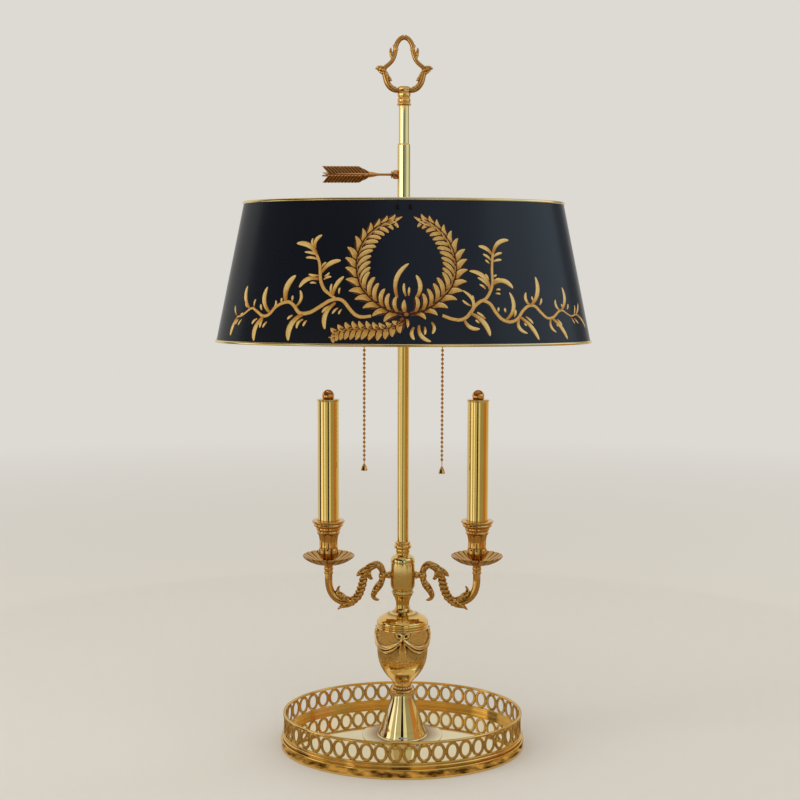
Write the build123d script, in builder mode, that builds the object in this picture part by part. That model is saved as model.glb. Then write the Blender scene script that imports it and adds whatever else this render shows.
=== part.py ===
from build123d import *
import math
import os

# A brass table lamp with an oval shade: a galleried oval tray, an urn-shaped stem, two fixed scroll arms
# with candle-shaped tubes, two pull-chain lampholders and an oval metal shade that slides on the top rod.
# Millimetres, +Z up, origin at the middle of the tray's underside. The front of the lamp faces -Y.

os.makedirs("parts", exist_ok=True)

# Clearances, and the overrun of every cut
bore_gap = 0.2
slip_gap = 0.08
seat_gap = 0.3
overrun = 1.0
middle_share = 0.5

# Oval tray
tray_length = 254
tray_depth = 194
tray_height = 10
tray_wall = 2
plate_thickness = 2
tray_edge_round = 1.2
felt_thickness = 1.5
bush_radius = 2.9
bush_bore_radius = 2.2
bush_flange_radius = 3.2
bush_flange_thickness = 1.5

# Pierced gallery round the tray
gallery_inset = 2
rail_width = 3
rail_round = 1
foot_rail_height = 6
rail_lip = 1.2
rail_lip_height = 2.2
frieze_height = 18.5
frieze_thickness = 1.6
ring_count = 48
ring_bar = 2.1
ring_flat = 0.5
ring_overlap = 0.4
strip_count = 12
strip_joint = 0.3
top_rail_height = 2.6

# Turned stem, from the tray up
pipe_radius = 4.8
pipe_bore_radius = 3.4
pipe_tail = 6.5
washer_radius = 14
washer_thickness = 1.5
nut_across_flats = 15
nut_height = 3.5
foot_base_radius = 42
foot_cone_radius = 25
foot_top_radius = 11.4
foot_height = 47
foot_lip = 1.2
foot_wall = 1.8
foot_height_shares = (0.15, 0.29, 0.43, 0.57, 0.7, 0.84)
foot_flare_shares = (0.87, 0.71, 0.55, 0.4, 0.23, 0.08)
collar_height = 7.5
collar_ring_height = 3.2
collar_ring_radius = 12.4
collar_bead_radius = 11.2
collar_round = 1
urn_foot_radius = 9.5
urn_lip_radius = 27
urn_height = 63
urn_wall = 2.2
urn_height_shares = (0.07, 0.16, 0.255, 0.35, 0.475, 0.665, 0.86)
urn_swell_shares = (0.105, 0.405, 0.645, 0.815, 0.93, 0.99, 1)
lid_rim_radius = 26.9
lid_rim_height = 4.5
lid_neck_radius = 6.7
lid_dome_height = 17
lid_height = 34
lid_flare_share = 0.25
lid_rim_round = 1.5
lid_height_shares = (0.15, 0.31, 0.465, 0.62, 0.79)
lid_swell_shares = (0.94, 0.77, 0.51, 0.18, 0.05)
hub_foot_radius = 10.8
hub_foot_height = 2.6
hub_radius = 12.6
hub_height = 41.5
hub_waist_radius = 6.8
hub_shoulder_height = 5
hub_shoulder_shares = (0.75, 0.7)
hub_taper_height = 5
ferrule_height = 13.5
ferrule_ring_radius = 9
ferrule_ring_height = 4.2
ferrule_radius = 8
ferrule_lip_height = 2.8
ferrule_round = 1
column_radius = 6
column_wall = 1
column_length = 238.5

# Scroll arms and their candles
arm_reach = 77
arm_height = 181
peg_radius = 2.6
peg_socket_depth = 5
arm_ball_radius = 3.6
arm_ball_reach = 21.8
arm_tube_radius = 4.1
bowl_radius = 19
rise_radius = 12
rise_lean = 10
rope_length = 21
rope_radius = 3.8
sheath_radius = 11.7
sheath_mouth_radius = 6
sheath_tip_radius = 3
knot_radius = 5.2
spur_length = 13
spur_radius = 3.2
spur_tip_radius = 0.6
spur_lean = 25
spur_share = 0.7
thorn_length = 9
thorn_radius = 2.4
thorn_lean = 20
thorn_share = 0.4
tail_radius = 3.9
tail_root_radius = 2.2
tail_tip_radius = 1
tail_drop = 23
tail_swing = 8
tail_bend_shares = (0.833, 0.4)
neck_ring_radius = 5
neck_ring_height = 9.5
neck_groove = 1
neck_drop = 11
pan_radius = 27
pan_foot_radius = 7
pan_depth = 10.5
pan_wall = 1.6
pan_slope_height_shares = (0.1, 0.33, 0.69)
pan_slope_radius_shares = (0.3, 0.55, 0.8)
scallop_count = 16
scallop_radius = 2.2
cup_foot_radius = 5.5
cup_bulb_radius = 10.4
cup_waist_radius = 9.5
cup_rim_radius = 17
cup_height = 45.5
cup_rim_height = 1.2
cup_ring_radii = (13, 15.5)
cup_ring_height = 3.2
cup_ring_round = 1
cup_seat_depth = 5
cup_bulb_share = 0.22
cup_waist_share = 0.42
cup_flare_share = 0.66
candle_radius = 11
candle_wall = 1
candle_length = 129
cap_radius = 11.7
cap_thickness = 2
cap_spigot_depth = 4
ball_radius = 6.35
ball_seat_share = 0.5
candle_rod_radius = 1.6

# Lampholders and bulbs inside the shade
cluster_radius = 14
cluster_height = 30
cluster_round = 3
cluster_branch_radius = 6
rod_socket_depth = 10
socket_start = 20
socket_radius = 16.5
socket_cap_length = 25
socket_shell_length = 32
socket_wall = 0.8
socket_round = 5
holder_floor = 6
guide_reach = 40
guide_radius = 3.6
guide_bore_radius = 2.2
guide_drop = 6
pull_travel = 12
bulb_base_radius = 12.6
bulb_base_length = 24
bulb_radius = 22.5
bulb_neck_radius = 11.8
bulb_length = 54
bulb_swell_shares = (0.28, 0.17)
bulb_wall = 1

# Top rod and ring finial
rod_radius = 5.2
rod_length = 175
finial_flange_radius = 7.3
finial_flange_height = 3.5
finial_neck_radius = 6.6
finial_neck_height = 13.5
finial_bead_height = 4.5
finial_boss_height = 4.4
finial_round = 1
finial_spigot_depth = 6
finial_spigot_radius = 3
ring_wire_radius = 2.1
ring_base_half = 8
ring_bowl_radius = 12
ring_bowl_rise = 9.5
ring_horn_length = 8.2
ring_horn_radius = 2.7
ring_horn_tip_radius = 0.7
ring_ogee_radius = 19
ring_ogee_turn = 60
ring_arch_height = 13.8
ring_knot_radius = 2.9

# Oval shade on its sliding sleeve
shade_length = 384
shade_depth = 184
shade_top_length = 324
shade_top_depth = 154
shade_height = 142
shade_wall = 0.9
shade_bottom = 422.5
shade_rim_height = 3
shade_rim_overhang = 1
shade_rim_round = 0.9
sleeve_radius = 6.5
sleeve_length = 76
sleeve_tail = 7.5
sleeve_flange_radius = 9.5
sleeve_flange_height = 2.5
ring_nut_radius = 9.5
ring_nut_height = 5
crossbar_width = 9
crossbar_thickness = 2.5
crossbar_drop = 5
crossbar_eye_radius = 10.5
tab_width = 22
tab_height = 9
tab_thickness = 2
tab_lap = 1
tab_screw_spacing = 13
tab_screw_radius = 1.5
tab_screw_head_radius = 2.6
tab_screw_head_height = 1.4
tab_screw_length = 5

# Arrow-shaped clamping screw
arrow_height = 592
boss_radius = 4.6
boss_length = 5
screw_radius = 2.2
arrow_shaft_radius = 1.6
arrow_shaft_length = 24
arrow_head_length = 47
arrow_half_height = 8.5
arrow_taper = 11
arrow_notch = 7
arrow_vane_thickness = 1.2
arrow_turn = 15

# Bead pull chains
bead_radius = 1.6
bead_pitch = 4.5
bead_count = 36
link_radius = 0.5
bell_radius = 3.6
bell_height = 7
bell_wall = 0.8
bell_crown_radius = 1.4
bell_swell_share = 0.8
left_chain_drop = 0
right_chain_drop = 3

# Heights of the stack, each from the pieces below it
gallery_base = tray_height
frieze_base = gallery_base + foot_rail_height
frieze_top = frieze_base + frieze_height
foot_base = tray_height
collar_base = foot_base + foot_height
urn_base = collar_base + collar_height
lid_base = urn_base + urn_height
hub_base = lid_base + lid_height
ferrule_base = hub_base + hub_height
column_base = ferrule_base + ferrule_height
cluster_base = column_base + column_length
cluster_middle = cluster_base + cluster_height / 2
rod_base = cluster_base + cluster_height
finial_base = rod_base + rod_length
ring_base = finial_base + finial_neck_height
shade_top = shade_bottom + shade_height
crossbar_top = shade_top - shade_rim_height - crossbar_drop
crossbar_base = crossbar_top - crossbar_thickness


def between(low, high, share):
    """A value that lies this share of the way from low to high."""
    return low + (high - low) * share


def save(builder, name):
    """Label a finished piece and write it as parts/name.step."""
    builder.part.label = name
    export_step(builder.part, f"parts/{name}.step")


# Tray: a pressed oval band and floor, open below, with a hole for the tie pipe and one for the inlet bush
bush_height = (felt_thickness + tray_height - plate_thickness) / 2
bush_face = tray_depth / 2 - seat_gap
inlet_plane = Plane(origin=(0, bush_face, bush_height), x_dir=(1, 0, 0), z_dir=(0, 1, 0))

with BuildPart() as base_tray:
    with BuildSketch():
        Ellipse(tray_length / 2, tray_depth / 2)
    extrude(amount=tray_height)
    fillet(base_tray.edges().group_by(Axis.Z)[-1], radius=tray_edge_round)
    with BuildSketch():
        Ellipse(tray_length / 2 - tray_wall, tray_depth / 2 - tray_wall)
    extrude(amount=tray_height - plate_thickness, mode=Mode.SUBTRACT)
    with Locations((0, 0, tray_height)):
        Hole(radius=pipe_radius + bore_gap)
    with BuildSketch(inlet_plane.offset(overrun)):
        Circle(bush_radius + slip_gap)
    extrude(amount=-(tray_wall + overrun * 2), mode=Mode.SUBTRACT)
save(base_tray, "base_tray")

with BuildPart() as base_felt:
    with BuildSketch():
        Ellipse(tray_length / 2 - tray_wall - seat_gap, tray_depth / 2 - tray_wall - seat_gap)
    extrude(amount=felt_thickness)
save(base_felt, "base_felt")

# Inlet bush: a flush barrel in the rear of the band with a flange inside
with BuildPart() as cord_bush:
    with BuildSketch(inlet_plane):
        Circle(bush_radius)
    extrude(amount=-(tray_wall + bush_flange_thickness))
    with BuildSketch(inlet_plane.offset(-tray_wall)):
        Circle(bush_flange_radius)
    extrude(amount=-bush_flange_thickness)
    with BuildSketch(inlet_plane):
        Circle(bush_bore_radius)
    extrude(amount=-(tray_wall + bush_flange_thickness), mode=Mode.SUBTRACT)
save(cord_bush, "cord_bush")

# Gallery: a moulded foot rail, a frieze of touching oval rings in strips, and a top rail
gallery_half_length = tray_length / 2 - gallery_inset
gallery_half_depth = tray_depth / 2 - gallery_inset

with BuildPart() as gallery_foot_rail:
    with BuildSketch(Plane.XY.offset(gallery_base)):
        Ellipse(gallery_half_length, gallery_half_depth)
        Ellipse(gallery_half_length - rail_width, gallery_half_depth - rail_width, mode=Mode.SUBTRACT)
    extrude(amount=foot_rail_height)
    fillet(gallery_foot_rail.edges().group_by(Axis.Z)[-1], radius=rail_round)
    with BuildSketch(Plane.XY.offset(gallery_base)):
        Ellipse(gallery_half_length + rail_lip, gallery_half_depth + rail_lip)
        Ellipse(gallery_half_length - rail_width, gallery_half_depth - rail_width, mode=Mode.SUBTRACT)
    extrude(amount=rail_lip_height)
save(gallery_foot_rail, "gallery_foot_rail")

ring_line = Edge.make_ellipse(gallery_half_length - rail_width / 2, gallery_half_depth - rail_width / 2)
ring_half_width = ring_line.length / ring_count / 2 + ring_overlap
ring_half_height = frieze_height / 2 + ring_flat


def gallery_plane(share):
    """The upright plane, facing outwards, at this share of the way round the gallery."""
    point = ring_line @ share
    along = ring_line % share
    origin = (point.X, point.Y, frieze_base + frieze_height / 2)
    return Plane(origin=origin, x_dir=along, z_dir=(along.Y, -along.X, 0))


ring_planes = [gallery_plane((index + middle_share) / ring_count) for index in range(ring_count)]
strip_planes = [gallery_plane(index / strip_count) for index in range(strip_count)]

with BuildPart() as gallery_frieze:
    with BuildSketch(*ring_planes):
        Ellipse(ring_half_width, ring_half_height)
        Rectangle(ring_half_width * 2, frieze_height, mode=Mode.INTERSECT)
        Ellipse(ring_half_width - ring_bar, ring_half_height - ring_bar, mode=Mode.SUBTRACT)
    extrude(amount=frieze_thickness / 2, both=True)
    with BuildSketch(*strip_planes):
        Rectangle(strip_joint, frieze_height + overrun)
    extrude(amount=rail_width, both=True, mode=Mode.SUBTRACT)
save(gallery_frieze, "gallery_frieze")

with BuildPart() as gallery_top_rail:
    with BuildSketch(Plane.XY.offset(frieze_top)):
        Ellipse(gallery_half_length, gallery_half_depth)
        Ellipse(gallery_half_length - rail_width, gallery_half_depth - rail_width, mode=Mode.SUBTRACT)
    extrude(amount=top_rail_height)
    fillet(gallery_top_rail.edges().group_by(Axis.Z)[-1], radius=rail_round)
save(gallery_top_rail, "gallery_top_rail")

# Trumpet foot: a spun shell that widens down to a flat flange on the tray
foot_points = [
    (between(foot_top_radius, foot_cone_radius, flare), foot_base + foot_height * rise)
    for rise, flare in zip(foot_height_shares, foot_flare_shares)
]
foot_outer = [
    (foot_cone_radius, foot_base + foot_lip),
    *foot_points,
    (foot_top_radius, foot_base + foot_height),
]
foot_inner = [(radius - foot_wall, height) for radius, height in foot_outer]

with BuildPart() as trumpet_foot:
    with BuildSketch(Plane.XZ):
        with BuildLine():
            outside = Spline(*foot_outer)
            inside = Spline(*foot_inner)
            Line(outside @ 1, inside @ 1)
            flange = Line(outside @ 0, (foot_base_radius, foot_base + foot_lip))
            edge = Line(flange @ 1, (foot_base_radius, foot_base))
            floor = Line(edge @ 1, (foot_cone_radius - foot_wall, foot_base))
            Line(floor @ 1, inside @ 0)
        make_face()
    revolve(axis=Axis.Z)
save(trumpet_foot, "trumpet_foot")

# Collar between the foot and the urn: a plain ring under a row of beads
bead_low = collar_base + collar_ring_height

with BuildPart() as beaded_collar:
    with BuildSketch(Plane.XZ):
        with BuildLine():
            ring = ThreePointArc(
                (collar_ring_radius - collar_round, collar_base),
                (collar_ring_radius, between(collar_base, bead_low, middle_share)),
                (collar_ring_radius - collar_round, bead_low),
            )
            step = Line(ring @ 1, (collar_bead_radius - collar_round, bead_low))
            beads = ThreePointArc(
                step @ 1,
                (collar_bead_radius, between(bead_low, urn_base, middle_share)),
                (collar_bead_radius - collar_round, urn_base),
            )
            Polyline(
                beads @ 1,
                (pipe_radius + bore_gap, urn_base),
                (pipe_radius + bore_gap, collar_base),
                ring @ 0,
            )
        make_face()
    revolve(axis=Axis.Z)
save(beaded_collar, "beaded_collar")

# Urn: a swelling vase with a solid foot and a hollow bowl
urn_outer = [
    (urn_foot_radius, urn_base),
    *[
        (between(urn_foot_radius, urn_lip_radius, swell), urn_base + urn_height * rise)
        for rise, swell in zip(urn_height_shares, urn_swell_shares)
    ],
    (urn_lip_radius, lid_base),
]
urn_inner = [(radius - urn_wall, height + urn_wall) for radius, height in urn_outer[2:-1]]

with BuildPart() as urn_body:
    with BuildSketch(Plane.XZ):
        with BuildLine():
            outside = Spline(*urn_outer)
            rim = Line(outside @ 1, (urn_lip_radius - urn_wall, lid_base))
            inside = Spline(rim @ 1, *reversed(urn_inner))
            bowl_floor = Line(inside @ 1, (pipe_radius + bore_gap, (inside @ 1).Y))
            bore = Line(bowl_floor @ 1, (pipe_radius + bore_gap, urn_base))
            Line(bore @ 1, outside @ 0)
        make_face()
    revolve(axis=Axis.Z)
save(urn_body, "urn_body")

# Lid: a round rim, an ogee dome and a neck that flares up to the hub
lid_dome_base = lid_base + lid_rim_height
lid_neck_base = lid_dome_base + lid_dome_height
lid_dome = [
    (between(lid_neck_radius, lid_rim_radius, swell), lid_dome_base + lid_dome_height * rise)
    for rise, swell in zip(lid_height_shares, lid_swell_shares)
]

with BuildPart() as urn_lid:
    with BuildSketch(Plane.XZ):
        with BuildLine():
            rim = Line((lid_rim_radius, lid_base), (lid_rim_radius, lid_dome_base))
            dome = Spline(rim @ 1, *lid_dome, (lid_neck_radius, lid_neck_base))
            neck = ThreePointArc(
                dome @ 1,
                (
                    between(lid_neck_radius, hub_foot_radius, lid_flare_share),
                    between(lid_neck_base, hub_base, middle_share),
                ),
                (hub_foot_radius, hub_base),
            )
            top = Line(neck @ 1, (pipe_radius + bore_gap, hub_base))
            bore = Line(top @ 1, (pipe_radius + bore_gap, lid_base))
            Line(bore @ 1, rim @ 0)
        make_face()
    revolve(axis=Axis.Z)
    fillet(urn_lid.edges().filter_by(GeomType.CIRCLE).group_by(Axis.Z)[0][-1], radius=lid_rim_round)
save(urn_lid, "urn_lid")

# Hub: the drum that carries both arms, with a socket bored into each side for an arm's peg
hub_shoulder_base = ferrule_base - hub_shoulder_height
hub_body_base = hub_base + hub_foot_height + hub_taper_height

with BuildPart() as arm_hub:
    with BuildSketch(Plane.XZ):
        with BuildLine():
            foot = Line((hub_foot_radius, hub_base), (hub_foot_radius, hub_base + hub_foot_height))
            taper = Line(foot @ 1, (hub_radius, hub_body_base))
            side = Line(taper @ 1, (hub_radius, hub_shoulder_base))
            shoulder = ThreePointArc(
                side @ 1,
                (
                    between(hub_waist_radius, hub_radius, hub_shoulder_shares[0]),
                    between(hub_shoulder_base, ferrule_base, hub_shoulder_shares[1]),
                ),
                (hub_waist_radius, ferrule_base),
            )
            top = Line(shoulder @ 1, (pipe_radius + bore_gap, ferrule_base))
            bore = Line(top @ 1, (pipe_radius + bore_gap, hub_base))
            Line(bore @ 1, foot @ 0)
        make_face()
    revolve(axis=Axis.Z)
    for facing in (1, -1):
        socket_face = Plane(origin=(facing * (hub_radius + overrun), 0, arm_height), z_dir=(-facing, 0, 0))
        with BuildSketch(socket_face):
            Circle(peg_radius + slip_gap)
        extrude(amount=peg_socket_depth + overrun, mode=Mode.SUBTRACT)
save(arm_hub, "arm_hub")

# Ferrule: a waist, a ring and a lip under the column
ferrule_ring_top = column_base - ferrule_lip_height
ferrule_ring_low = ferrule_ring_top - ferrule_ring_height

with BuildPart() as column_ferrule:
    with BuildSketch(Plane.XZ):
        with BuildLine():
            waist = Line((hub_waist_radius, ferrule_base), (hub_waist_radius, ferrule_ring_low))
            under = Line(waist @ 1, (ferrule_ring_radius - ferrule_round, ferrule_ring_low))
            ring = ThreePointArc(
                under @ 1,
                (ferrule_ring_radius, between(ferrule_ring_low, ferrule_ring_top, middle_share)),
                (ferrule_ring_radius - ferrule_round, ferrule_ring_top),
            )
            Polyline(
                ring @ 1,
                (ferrule_radius - ferrule_round / 2, ferrule_ring_top),
                (ferrule_radius, column_base - ferrule_lip_height / 2),
                (ferrule_radius - ferrule_round / 2, column_base),
                (pipe_radius + bore_gap, column_base),
                (pipe_radius + bore_gap, ferrule_base),
                waist @ 0,
            )
        make_face()
    revolve(axis=Axis.Z)
save(column_ferrule, "column_ferrule")

with BuildPart() as column_tube:
    with BuildSketch(Plane.XY.offset(column_base)):
        Circle(column_radius)
        Circle(column_radius - column_wall, mode=Mode.SUBTRACT)
    extrude(amount=column_length)
save(column_tube, "column_tube")

# Tie pipe: the hollow threaded pipe that clamps the stack between the nut in the tray and the cluster
pipe_base = tray_height - plate_thickness - pipe_tail + bore_gap
with BuildPart() as tie_pipe:
    with BuildSketch(Plane.XY.offset(pipe_base)):
        Circle(pipe_radius)
        Circle(pipe_bore_radius, mode=Mode.SUBTRACT)
    extrude(amount=cluster_middle - pipe_base)
save(tie_pipe, "tie_pipe")

washer_top = tray_height - plate_thickness
with BuildPart() as base_washer:
    with BuildSketch(Plane.XY.offset(washer_top)):
        Circle(washer_radius)
        Circle(pipe_radius + bore_gap, mode=Mode.SUBTRACT)
    extrude(amount=-washer_thickness)
save(base_washer, "base_washer")

with BuildPart() as base_nut:
    with BuildSketch(Plane.XY.offset(washer_top - washer_thickness)):
        RegularPolygon(radius=nut_across_flats / 2, side_count=6, major_radius=False)
        Circle(pipe_radius, mode=Mode.SUBTRACT)
    extrude(amount=-nut_height)
save(base_nut, "base_nut")

# Scroll arm, built on the +X side: neck rings, plain tube, knot, rope, leaf sheath, ball and peg
pan_base = arm_height + neck_ring_height + neck_groove
neck_low = pan_base - neck_ring_height
bowl_middle = pan_base - neck_ring_height - neck_drop

with BuildLine(Plane.XZ):
    drop = Line((arm_reach, neck_low), (arm_reach, bowl_middle))
    bowl = JernArc(drop @ 1, drop % 1, bowl_radius, -90)
    rise = JernArc(bowl @ 1, bowl % 1, rise_radius, rise_lean - 90)
    rope = Line(rise @ 1, (rise @ 1) + (rise % 1) * rope_length)
    sheath = JernArc(rope @ 1, rope % 1, sheath_radius, 180 - rise_lean)

peg_start = hub_radius - peg_socket_depth + seat_gap
ball_place = Vector(arm_ball_reach, 0, arm_height)
tail_start = ball_place - Vector(0, 0, arm_ball_radius / 2)
tail_end = ball_place + Vector(tail_swing, 0, -tail_drop)
tail_middle = ball_place + Vector(tail_swing * tail_bend_shares[0], 0, -tail_drop * tail_bend_shares[1])
with BuildLine(Plane.XZ):
    tail = ThreePointArc(tail_start, tail_middle, tail_end)


def square_to(line, share):
    """The plane square to a line at this share of its length."""
    return Plane(origin=line @ share, z_dir=line % share)


def leaning_plane(place, lean):
    """A plane at a place of the arm whose normal leans this many degrees from straight up."""
    angle = math.radians(lean)
    return Plane(origin=place, z_dir=(math.sin(angle), 0, math.cos(angle)))


with BuildPart() as arm_right:
    with BuildSketch(square_to(drop, 0)):
        Circle(arm_tube_radius)
    sweep(path=Wire([drop, bowl]))
    with BuildSketch(square_to(rise, 0)):
        Circle(rope_radius)
    sweep(path=Wire([rise, rope]))
    with BuildSketch(square_to(sheath, 0)):
        Circle(sheath_mouth_radius)
    with BuildSketch(square_to(sheath, 1)):
        Circle(sheath_tip_radius)
    sweep(path=sheath, multisection=True)
    with Locations(bowl @ 1):
        Sphere(knot_radius)
    with Locations(ball_place):
        Sphere(arm_ball_radius)
    with BuildSketch(Plane(origin=(peg_start, 0, arm_height), z_dir=(1, 0, 0))):
        Circle(peg_radius)
    extrude(amount=arm_ball_reach - peg_start)
    with BuildSketch(square_to(tail, 0)):
        Circle(tail_root_radius)
    with BuildSketch(square_to(tail, middle_share)):
        Circle(tail_radius)
    with BuildSketch(square_to(tail, 1)):
        Circle(tail_tip_radius)
    sweep(path=tail, multisection=True)
    with BuildSketch(leaning_plane(bowl @ spur_share, 180 - spur_lean)):
        Circle(spur_radius)
    with BuildSketch(leaning_plane(bowl @ spur_share, 180 - spur_lean).offset(spur_length)):
        Circle(spur_tip_radius)
    loft()
    with BuildSketch(leaning_plane(bowl @ thorn_share, -thorn_lean)):
        Circle(thorn_radius)
    with BuildSketch(leaning_plane(bowl @ thorn_share, -thorn_lean).offset(thorn_length)):
        Circle(spur_tip_radius)
    loft()
    with BuildSketch(Plane(origin=(arm_reach, 0, neck_low))):
        Circle(neck_ring_radius)
    extrude(amount=neck_ring_height)
    with BuildSketch(Plane(origin=(arm_reach, 0, pan_base))):
        Circle(candle_rod_radius)
    extrude(amount=-neck_ring_height, mode=Mode.SUBTRACT)
save(arm_right, "arm_right")

with BuildPart() as arm_left:
    add(mirror(arm_right.part, about=Plane.YZ, mode=Mode.PRIVATE))
save(arm_left, "arm_left")

# Candles: pan, cup, tube, cap and ball, one above the other on a threaded rod
pan_lip = pan_base + pan_depth
cup_base = pan_base + pan_wall
cup_top = cup_base + cup_height
cup_rim_base = cup_top - cup_rim_height
cup_ring_base = cup_rim_base - cup_ring_height * len(cup_ring_radii)
candle_base = cup_top - cup_seat_depth
cap_base = candle_base + candle_length
ball_base = cap_base + cap_thickness
rod_hole_radius = candle_rod_radius + slip_gap

pan_under = [
    (between(pan_foot_radius, pan_radius, across), pan_base + (pan_depth - pan_wall) * up)
    for up, across in zip(pan_slope_height_shares, pan_slope_radius_shares)
]
pan_over = [(radius, height + pan_wall) for radius, height in reversed(pan_under)]
cup_outer = [
    (cup_foot_radius, cup_base),
    (cup_bulb_radius, cup_base + cup_height * cup_bulb_share),
    (cup_waist_radius, cup_base + cup_height * cup_waist_share),
    (candle_radius, cup_base + cup_height * cup_flare_share),
    (cup_ring_radii[0] - cup_ring_round, cup_ring_base),
]

for side, facing in (("left", -1), ("right", 1)):
    spindle = Plane(origin=(facing * arm_reach, 0, 0))
    profile_plane = Plane(origin=spindle.origin, x_dir=(1, 0, 0), z_dir=(0, -1, 0))
    spindle_axis = Axis(spindle.origin, (0, 0, 1))

    with BuildPart() as drip_pan:
        with BuildSketch(profile_plane):
            with BuildLine():
                under = Spline((pan_foot_radius, pan_base), *pan_under, (pan_radius, pan_lip - pan_wall))
                edge = Line(under @ 1, (pan_radius, pan_lip))
                Spline(edge @ 1, *pan_over, (pan_foot_radius, cup_base))
                Polyline(
                    (pan_foot_radius, cup_base),
                    (rod_hole_radius, cup_base),
                    (rod_hole_radius, pan_base),
                    (pan_foot_radius, pan_base),
                )
            make_face()
        revolve(axis=spindle_axis)
        with BuildSketch(spindle.offset(pan_base)):
            with PolarLocations(pan_radius + scallop_radius / 2, scallop_count):
                Circle(scallop_radius)
        extrude(amount=pan_depth + overrun, mode=Mode.SUBTRACT)
    save(drip_pan, f"drip_pan_{side}")

    with BuildPart() as candle_cup:
        with BuildSketch(profile_plane):
            with BuildLine():
                moulding = Spline(*cup_outer)
                for index, radius in enumerate(cup_ring_radii):
                    low = cup_ring_base + cup_ring_height * index
                    high = low + cup_ring_height
                    step = (radius - cup_ring_round, low)
                    if index:
                        Line(moulding @ 1, step)
                    moulding = ThreePointArc(
                        step,
                        (radius, between(low, high, middle_share)),
                        (radius - cup_ring_round, high),
                    )
                Polyline(
                    moulding @ 1,
                    (cup_rim_radius, cup_rim_base),
                    (cup_rim_radius, cup_top),
                    (candle_radius + bore_gap, cup_top),
                    (candle_radius + bore_gap, candle_base),
                    (rod_hole_radius, candle_base),
                    (rod_hole_radius, cup_base),
                    (cup_foot_radius, cup_base),
                )
            make_face()
        revolve(axis=spindle_axis)
    save(candle_cup, f"candle_cup_{side}")

    with BuildPart() as candle_tube:
        with BuildSketch(spindle.offset(candle_base)):
            Circle(candle_radius)
            Circle(candle_radius - candle_wall, mode=Mode.SUBTRACT)
        extrude(amount=candle_length)
    save(candle_tube, f"candle_tube_{side}")

    with BuildPart() as candle_cap:
        with BuildSketch(spindle.offset(cap_base)):
            Circle(cap_radius)
        extrude(amount=cap_thickness)
        with BuildSketch(spindle.offset(cap_base)):
            Circle(candle_radius - candle_wall - bore_gap)
        extrude(amount=-cap_spigot_depth)
        with BuildSketch(spindle.offset(ball_base)):
            Circle(rod_hole_radius)
        extrude(amount=-(cap_thickness + cap_spigot_depth), mode=Mode.SUBTRACT)
    save(candle_cap, f"candle_cap_{side}")

    with BuildPart() as candle_ball:
        with Locations((facing * arm_reach, 0, ball_base + ball_radius * ball_seat_share)):
            Sphere(ball_radius)
        split(bisect_by=Plane.XY.offset(ball_base), keep=Keep.TOP)
        with BuildSketch(spindle.offset(ball_base)):
            Circle(rod_hole_radius)
        extrude(amount=ball_radius, mode=Mode.SUBTRACT)
    save(candle_ball, f"candle_ball_{side}")

with BuildPart() as candle_rods:
    with BuildSketch(Plane.XY.offset(neck_low + neck_groove)):
        with Locations((arm_reach, 0), (-arm_reach, 0)):
            Circle(candle_rod_radius)
    extrude(amount=ball_base + ball_radius - slip_gap - neck_low - neck_groove)
save(candle_rods, "candle_rods")

# Cluster: the body on the column that carries both lampholders and the top rod
with BuildPart() as cluster_body:
    with BuildSketch(Plane.XY.offset(cluster_base)):
        Circle(cluster_radius)
    extrude(amount=cluster_height)
    fillet(cluster_body.edges().filter_by(GeomType.CIRCLE), radius=cluster_round)
    with BuildSketch(Plane.YZ.offset(-socket_start).shift_origin((-socket_start, 0, cluster_middle))):
        Circle(cluster_branch_radius)
    extrude(amount=socket_start * 2)
    with BuildSketch(Plane.XY.offset(cluster_base)):
        Circle(pipe_radius)
    extrude(amount=cluster_middle - cluster_base, mode=Mode.SUBTRACT)
    with BuildSketch(Plane.XY.offset(rod_base)):
        Circle(rod_radius)
    extrude(amount=-rod_socket_depth, mode=Mode.SUBTRACT)
save(cluster_body, "cluster_body")

with BuildPart() as top_rod:
    with BuildSketch(Plane.XY.offset(rod_base - rod_socket_depth)):
        Circle(rod_radius)
    extrude(amount=rod_length + rod_socket_depth)
    with BuildSketch(Plane.XY.offset(finial_base)):
        Circle(finial_spigot_radius)
    extrude(amount=-(finial_spigot_depth + overrun), mode=Mode.SUBTRACT)
save(top_rod, "top_rod")

# Lampholders, lying along X: cap, shell and insulator, with the bulb in each and the guide of its chain
cap_end = socket_start + socket_cap_length
shell_end = cap_end + socket_shell_length
holder_radius = socket_radius - socket_wall - slip_gap
bulb_start = cap_end + holder_floor
bulb_collar = bulb_start + bulb_base_length
bulb_middle = bulb_collar + bulb_length - bulb_radius
guide_top = cluster_middle - socket_radius

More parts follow.
